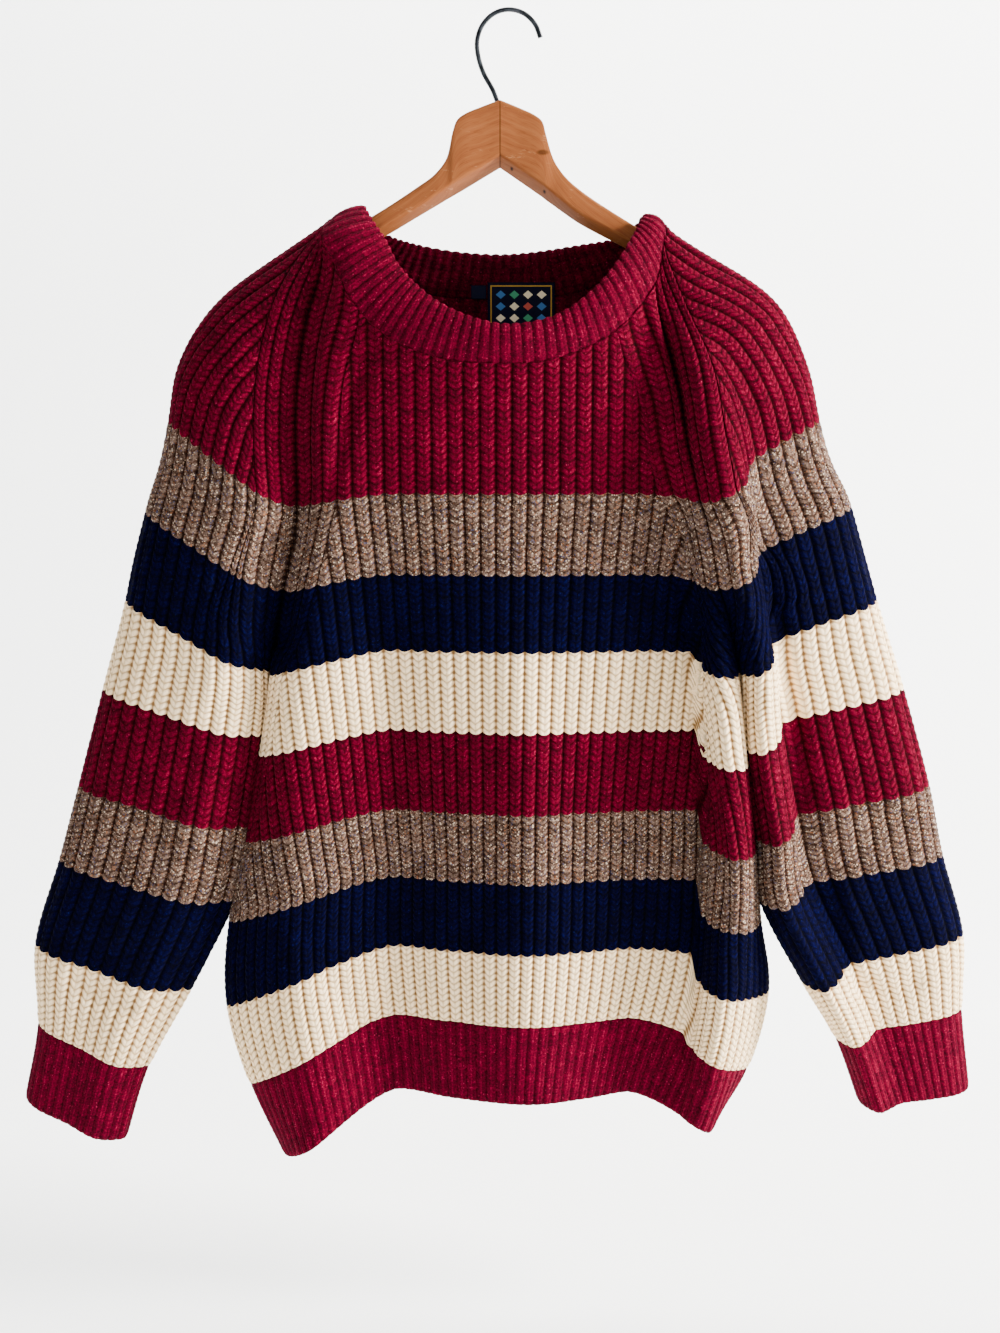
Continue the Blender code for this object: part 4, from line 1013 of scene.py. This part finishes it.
# Varnished beech, orange-brown and rubbed pale where hangers knock together. Its grain runs along
# each arm in streaks about 4 mm wide. Beech pores are 0.1 mm, so they are drawn coarser, at 0.7 mm.
def varnishedBeech():
    nodes = Nodes("varnished beech")
    uv = nodes.coords("UV")
    place = nodes.coords()
    stretched = nodes.add("Mapping", None, Vector=uv, Scale=(8.0, 170.0, 1.0)).outputs[0]
    grain = nodes.noise(stretched, 1.6, 6.0, Roughness=0.6, Distortion=0.15)
    fine = nodes.add("Mapping", None, Vector=uv, Scale=(60.0, 900.0, 1.0)).outputs[0]
    pores = nodes.noise(fine, 1.5, 3.0)
    rubbed = nodes.add("Mapping", None, Vector=place, Rotation=(0, -0.6, 0), Scale=(30.0, 30.0, 110.0)).outputs[0]
    scuffs = nodes.noise(rubbed, 2.2, 5.0, Roughness=0.75)
    colour = nodes.ramp(grain, [(0.25, "6c3a20"), (0.5, "794626"), (0.75, "85502e")])
    colour = nodes.mix(0.8, colour, nodes.ramp(pores, [(0.30, "ddd4ce"), (0.48, 1)]), "MULTIPLY")
    worn = nodes.ramp(scuffs, [(0.60, 0), (0.72, 1)])
    colour = nodes.mix(nodes.times(worn, 0.5), colour, "c08c62")
    for mark in woodMarks:
        offset = nodes.vector("SUBTRACT", place, tuple(v * mm for v in mark.place))[0]
        offset = nodes.vector("MULTIPLY", offset, tuple(1 / (v * mm) for v in mark.size))[0]
        away = nodes.vector("LENGTH", offset)["Value"]
        colour = nodes.mix(1.0, colour, nodes.ramp(away, [(0.55, mark.shade), (1.0, 1)]), "MULTIPLY")
    return nodes.finish(Base_Color=colour, Roughness=nodes.times(grain, 0.2, 0.36), Specular_IOR_Level=0.02,
                        Normal=nodes.bump(pores, 0.15, 0.0002))


# Steel wire gone dark, with duller blotches about 5 mm long, so that the hook reads as old metal.
def steelWire():
    nodes = Nodes("steel wire")
    wear = nodes.noise(nodes.coords(), 220.0, 5.0)
    return nodes.finish(Base_Color=nodes.ramp(wear, [(0.35, "15171b"), (0.7, "383b40")]), Metallic=1.0,
                        Roughness=nodes.times(wear, 0.3, 0.25))


hanger = {"jointX": -5.3, "cornerPoints": 7, "steps": 6}


def armRing(top, bottom, depth, bevel, rounding):
    corners = np.array([(depth, top), (-depth, top), (-depth, bottom + bevel), (depth, bottom)])
    ring = []
    for k, corner in enumerate(corners):
        start = corner + unit(corners[k - 1] - corner) * rounding
        end = corner + unit(corners[(k + 1) % 4] - corner) * rounding
        for t in np.linspace(0, 1, hanger["cornerPoints"]):
            ring.append(start * (1 - t)**2 + corner * 2 * t * (1 - t) + end * t * t)
    return np.array(ring + ring[:1])


def makeArm(name, replaces, table, side, material):
    dense = denseCurve([(s.out, s.top, s.bottom, s.halfDepth, s.bevel, s.rounding) for s in table],
                       steps=hanger["steps"])
    rings = np.array([armRing(*row[1:]) for row in dense])
    x = hanger["jointX"] + side * dense[:, 0]
    places = np.concatenate([np.broadcast_to(x[:, None, None], rings.shape[:2] + (1,)), rings], axis=2)
    along = lengthsAlong(np.stack([dense[:, 0], (dense[:, 1] + dense[:, 2]) / 2], axis=1))
    around = np.array([lengthsAlong(ring) for ring in rings])
    bm = bmesh.new()
    rows = addGrid(bm, {}, places, {}, lambda r: 0, False)
    uvs = bm.loops.layers.uv.new("grain")
    flat = {}
    for r, row in enumerate(rows):
        for c, vert in enumerate(row):
            flat[vert] = (along[r] * mm, around[r, c] * mm)
    for face in bm.faces:
        for loop in face.loops:
            loop[uvs].uv = flat[loop.vert]
    for row in (rows[0], rows[-1]):
        cap = bm.faces.new(row[:-1])
        for loop in cap.loops:
            loop[uvs].uv = (loop.vert.co.y, loop.vert.co.z)
        for edge in cap.edges:
            edge.smooth = False
    made = finishMesh(bm, name, [material], [row[end] for row in rows for end in (0, -1)])
    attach(made, "root")
    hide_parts(replaces)
    return made


beech = varnishedBeech()
makeArm("hanger_left_wood", "hanger_left_arm", leftArm, -1, beech)
makeArm("hanger_right_wood", "hanger_right_arm", rightArm, 1, beech)
steel = steelWire()
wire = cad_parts["hanger_hook"]
for slot in wire.material_slots:
    slot.material = steel
for face in wire.data.polygons:
    face.use_smooth = True
print("made the hanger")

label = {"left": -14.0, "right": 33.0, "top": -176.0, "bottom": -209.0, "topY": 26.3, "bottomY": 25.0,
         "thickness": 0.9, "sag": 0.6, "rows": 12, "columns": 24, "borderFrom": 2.0, "borderTo": 2.9,
         "margin": 4.4, "cellWidth": 9.55, "cellHeight": 8.07, "lozenge": 0.36, "thread": 0.35}
label["width"] = label["right"] - label["left"]
label["height"] = label["top"] - label["bottom"]
tab = {"left": -25.5, "right": -15.0, "top": -178.0, "bottom": -187.0}


# Damask-woven polyester, flatter and a little shinier than the wool round it: a dark ground with a
# gold border and small coloured lozenges. Real threads are 0.15 mm and are drawn at 0.35 mm.
def wovenLabel():
    nodes = Nodes("woven navy label")
    parts = nodes.add("SeparateXYZ", None, Vector=nodes.coords("UV"))
    x, y = parts.outputs[0], parts.outputs[1]
    fromEdge = nodes.maths("MINIMUM", nodes.maths("MINIMUM", x, nodes.minus(label["width"], x)),
                           nodes.maths("MINIMUM", y, nodes.minus(label["height"], y)))
    border = nodes.times(nodes.maths("GREATER_THAN", fromEdge, label["borderFrom"]),
                         nodes.maths("LESS_THAN", fromEdge, label["borderTo"]))
    cells = [nodes.maths("DIVIDE", nodes.minus(value, label["margin"]), size)
             for value, size in ((x, label["cellWidth"]), (y, label["cellHeight"]))]
    away = [nodes.maths("ABSOLUTE", nodes.minus(nodes.maths("FRACT", value), 0.5)) for value in cells]
    motif = nodes.times(nodes.maths("LESS_THAN", nodes.maths("ADD", *away), label["lozenge"]),
                        nodes.maths("GREATER_THAN", fromEdge, label["margin"]))
    pick = nodes.add("TexWhiteNoise", None, Vector=nodes.cell(*cells)).outputs["Value"]
    motifColour = nodes.ramp(pick, [(0.0, "3c9068"), (0.3, "3a6aa0"), (0.55, "e6d8b4"), (0.8, "b04c42")],
                             "CONSTANT")
    colour = nodes.mix(motif, nodes.mix(border, "080b20", "a27c30"), motifColour)
    weave = nodes.times(nodes.wave(y, 1 / label["thread"]), nodes.wave(x, 1 / label["thread"]))
    return nodes.finish(Base_Color=colour, Roughness=0.6, Specular_IOR_Level=0.05,
                        Normal=nodes.bump(weave, 0.3, 0.0001))


def makeLabel(name, sides, material, patterned):
    width = sides["right"] - sides["left"]
    height = sides["top"] - sides["bottom"]
    bm = bmesh.new()
    uvs = bm.loops.layers.uv.new("weave")
    grid = bmesh.ops.create_grid(bm, x_segments=label["columns"], y_segments=label["rows"], size=0.5)
    flat = {}
    for vert in grid["verts"]:
        across, rise = vert.co.x + 0.5, vert.co.y + 0.5
        y = label["bottomY"] + (label["topY"] - label["bottomY"]) * rise
        y -= label["sag"] * math.sin(math.pi * across) * (1 - rise)
        flat[vert] = (across * width, rise * height) if patterned else (1, 1)
        vert.co = Vector((sides["left"] + width * across, y, sides["bottom"] + height * rise)) * mm
    for face in bm.faces:
        face.smooth = True
        for loop in face.loops:
            loop[uvs].uv = flat[loop.vert]
    bmesh.ops.solidify(bm, geom=bm.faces[:] + bm.edges[:] + bm.verts[:], thickness=label["thickness"] * mm / 2)
    made = finishMesh(bm, name, [material])
    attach(made, "root")
    return made


labelWeave = wovenLabel()
sideTab = makeLabel("side_tab_woven", tab, labelWeave, False)
neckLabel = makeLabel("neck_label_woven", label, labelWeave, True)
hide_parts("neck_label")
print("made the label")

# Metres from here on. The floor bends up into a wall: its rows are shared between floor and bend,
# and half as many are left for the wall.
stage = {"rows": 48, "width": 16, "partShare": 0.4, "floorZ": -0.95, "frontY": -6, "bendY": 0.8, "radius": 0.8,
         "wallHeight": 5}


# Pale plaster, nearly white, with a faint mottle 0.7 m across, so that the ground stays quiet.
def paleFloor():
    nodes = Nodes("pale plaster floor")
    mottle = nodes.noise(nodes.coords(), 1.5, 2.0)
    return nodes.finish(Base_Color=nodes.ramp(mottle, [(0.3, "f8f8f7"), (0.7, "fcfcfb")]), Roughness=0.9)


def makeStage():
    bm = bmesh.new()
    grid = bmesh.ops.create_grid(bm, x_segments=2, y_segments=stage["rows"], size=0.5)
    for vert in grid["verts"]:
        part = (vert.co.y + 0.5) / stage["partShare"]
        onFloor = max(1 - part, 0)
        turn = math.pi / 2 * min(max(part - 1, 0), 1)
        onWall = max(part - 2, 0) * 2
        y = stage["bendY"] + stage["radius"] * math.sin(turn) - (stage["bendY"] - stage["frontY"]) * onFloor
        z = stage["floorZ"] + stage["radius"] * (1 - math.cos(turn)) + stage["wallHeight"] * onWall
        vert.co = (vert.co.x * stage["width"], y, z)
    for face in bm.faces:
        face.smooth = True
    finishMesh(bm, "backdrop", [paleFloor()])


def addLight(row):
    light = bpy.data.lights.new(row.name, "AREA")
    light.energy = row.power
    light.size = row.size
    light.color = linear(row.colour)[:3]
    holder = bpy.data.objects.new(row.name, light)
    holder.location = row.place
    holder.rotation_euler = (Vector(row.target) - Vector(row.place)).to_track_quat("-Z", "Y").to_euler()
    bpy.context.scene.collection.objects.link(holder)


# As the photograph: 1333 rows of 0.71 mm at the hook's plane, seen from 10 degrees above.
view = {"pitch": math.radians(10), "distance": 1.3, "target": (-0.0053, 0, -0.4439), "sensor": 24,
        "rows": 1333, "pixel": 0.00071}


def makeCamera():
    data = bpy.data.cameras.new("camera")
    data.sensor_fit = "VERTICAL"
    data.sensor_height = view["sensor"]
    data.lens = view["sensor"] * view["distance"] / (view["rows"] * view["pixel"])
    camera = bpy.data.objects.new("camera", data)
    back = Vector((0, -math.cos(view["pitch"]), math.sin(view["pitch"])))
    camera.location = Vector(view["target"]) + back * view["distance"]
    camera.rotation_euler = (math.pi / 2 - view["pitch"], 0, 0)
    bpy.context.scene.collection.objects.link(camera)
    bpy.context.scene.camera = camera


makeStage()
middle = (0, 0, -0.4)
for row in tableOf("name place target size power colour", [
    ("key", (2.75, -0.65, 0.5), middle, 0.7, 480, "fffdf9"),
    ("fill", (-0.6, -2.6, 0.4), middle, 2.0, 26, "fafdff"),
    ("top", (0.2, 0.6, 1.8), middle, 1.5, 30, "ffffff"),
    ("wash", (0, 0.7, 1.9), (0, 3, 0.5), 2.4, 230, "fcfeff"),
]):
    addLight(row)
world = bpy.data.worlds.new("studio")
world.use_nodes = True
background = world.node_tree.nodes["Background"]
background.inputs["Color"].default_value = linear("fcfdff")
background.inputs["Strength"].default_value = 0.5
bpy.context.scene.world = world
makeCamera()
print("made the floor, lights and camera")
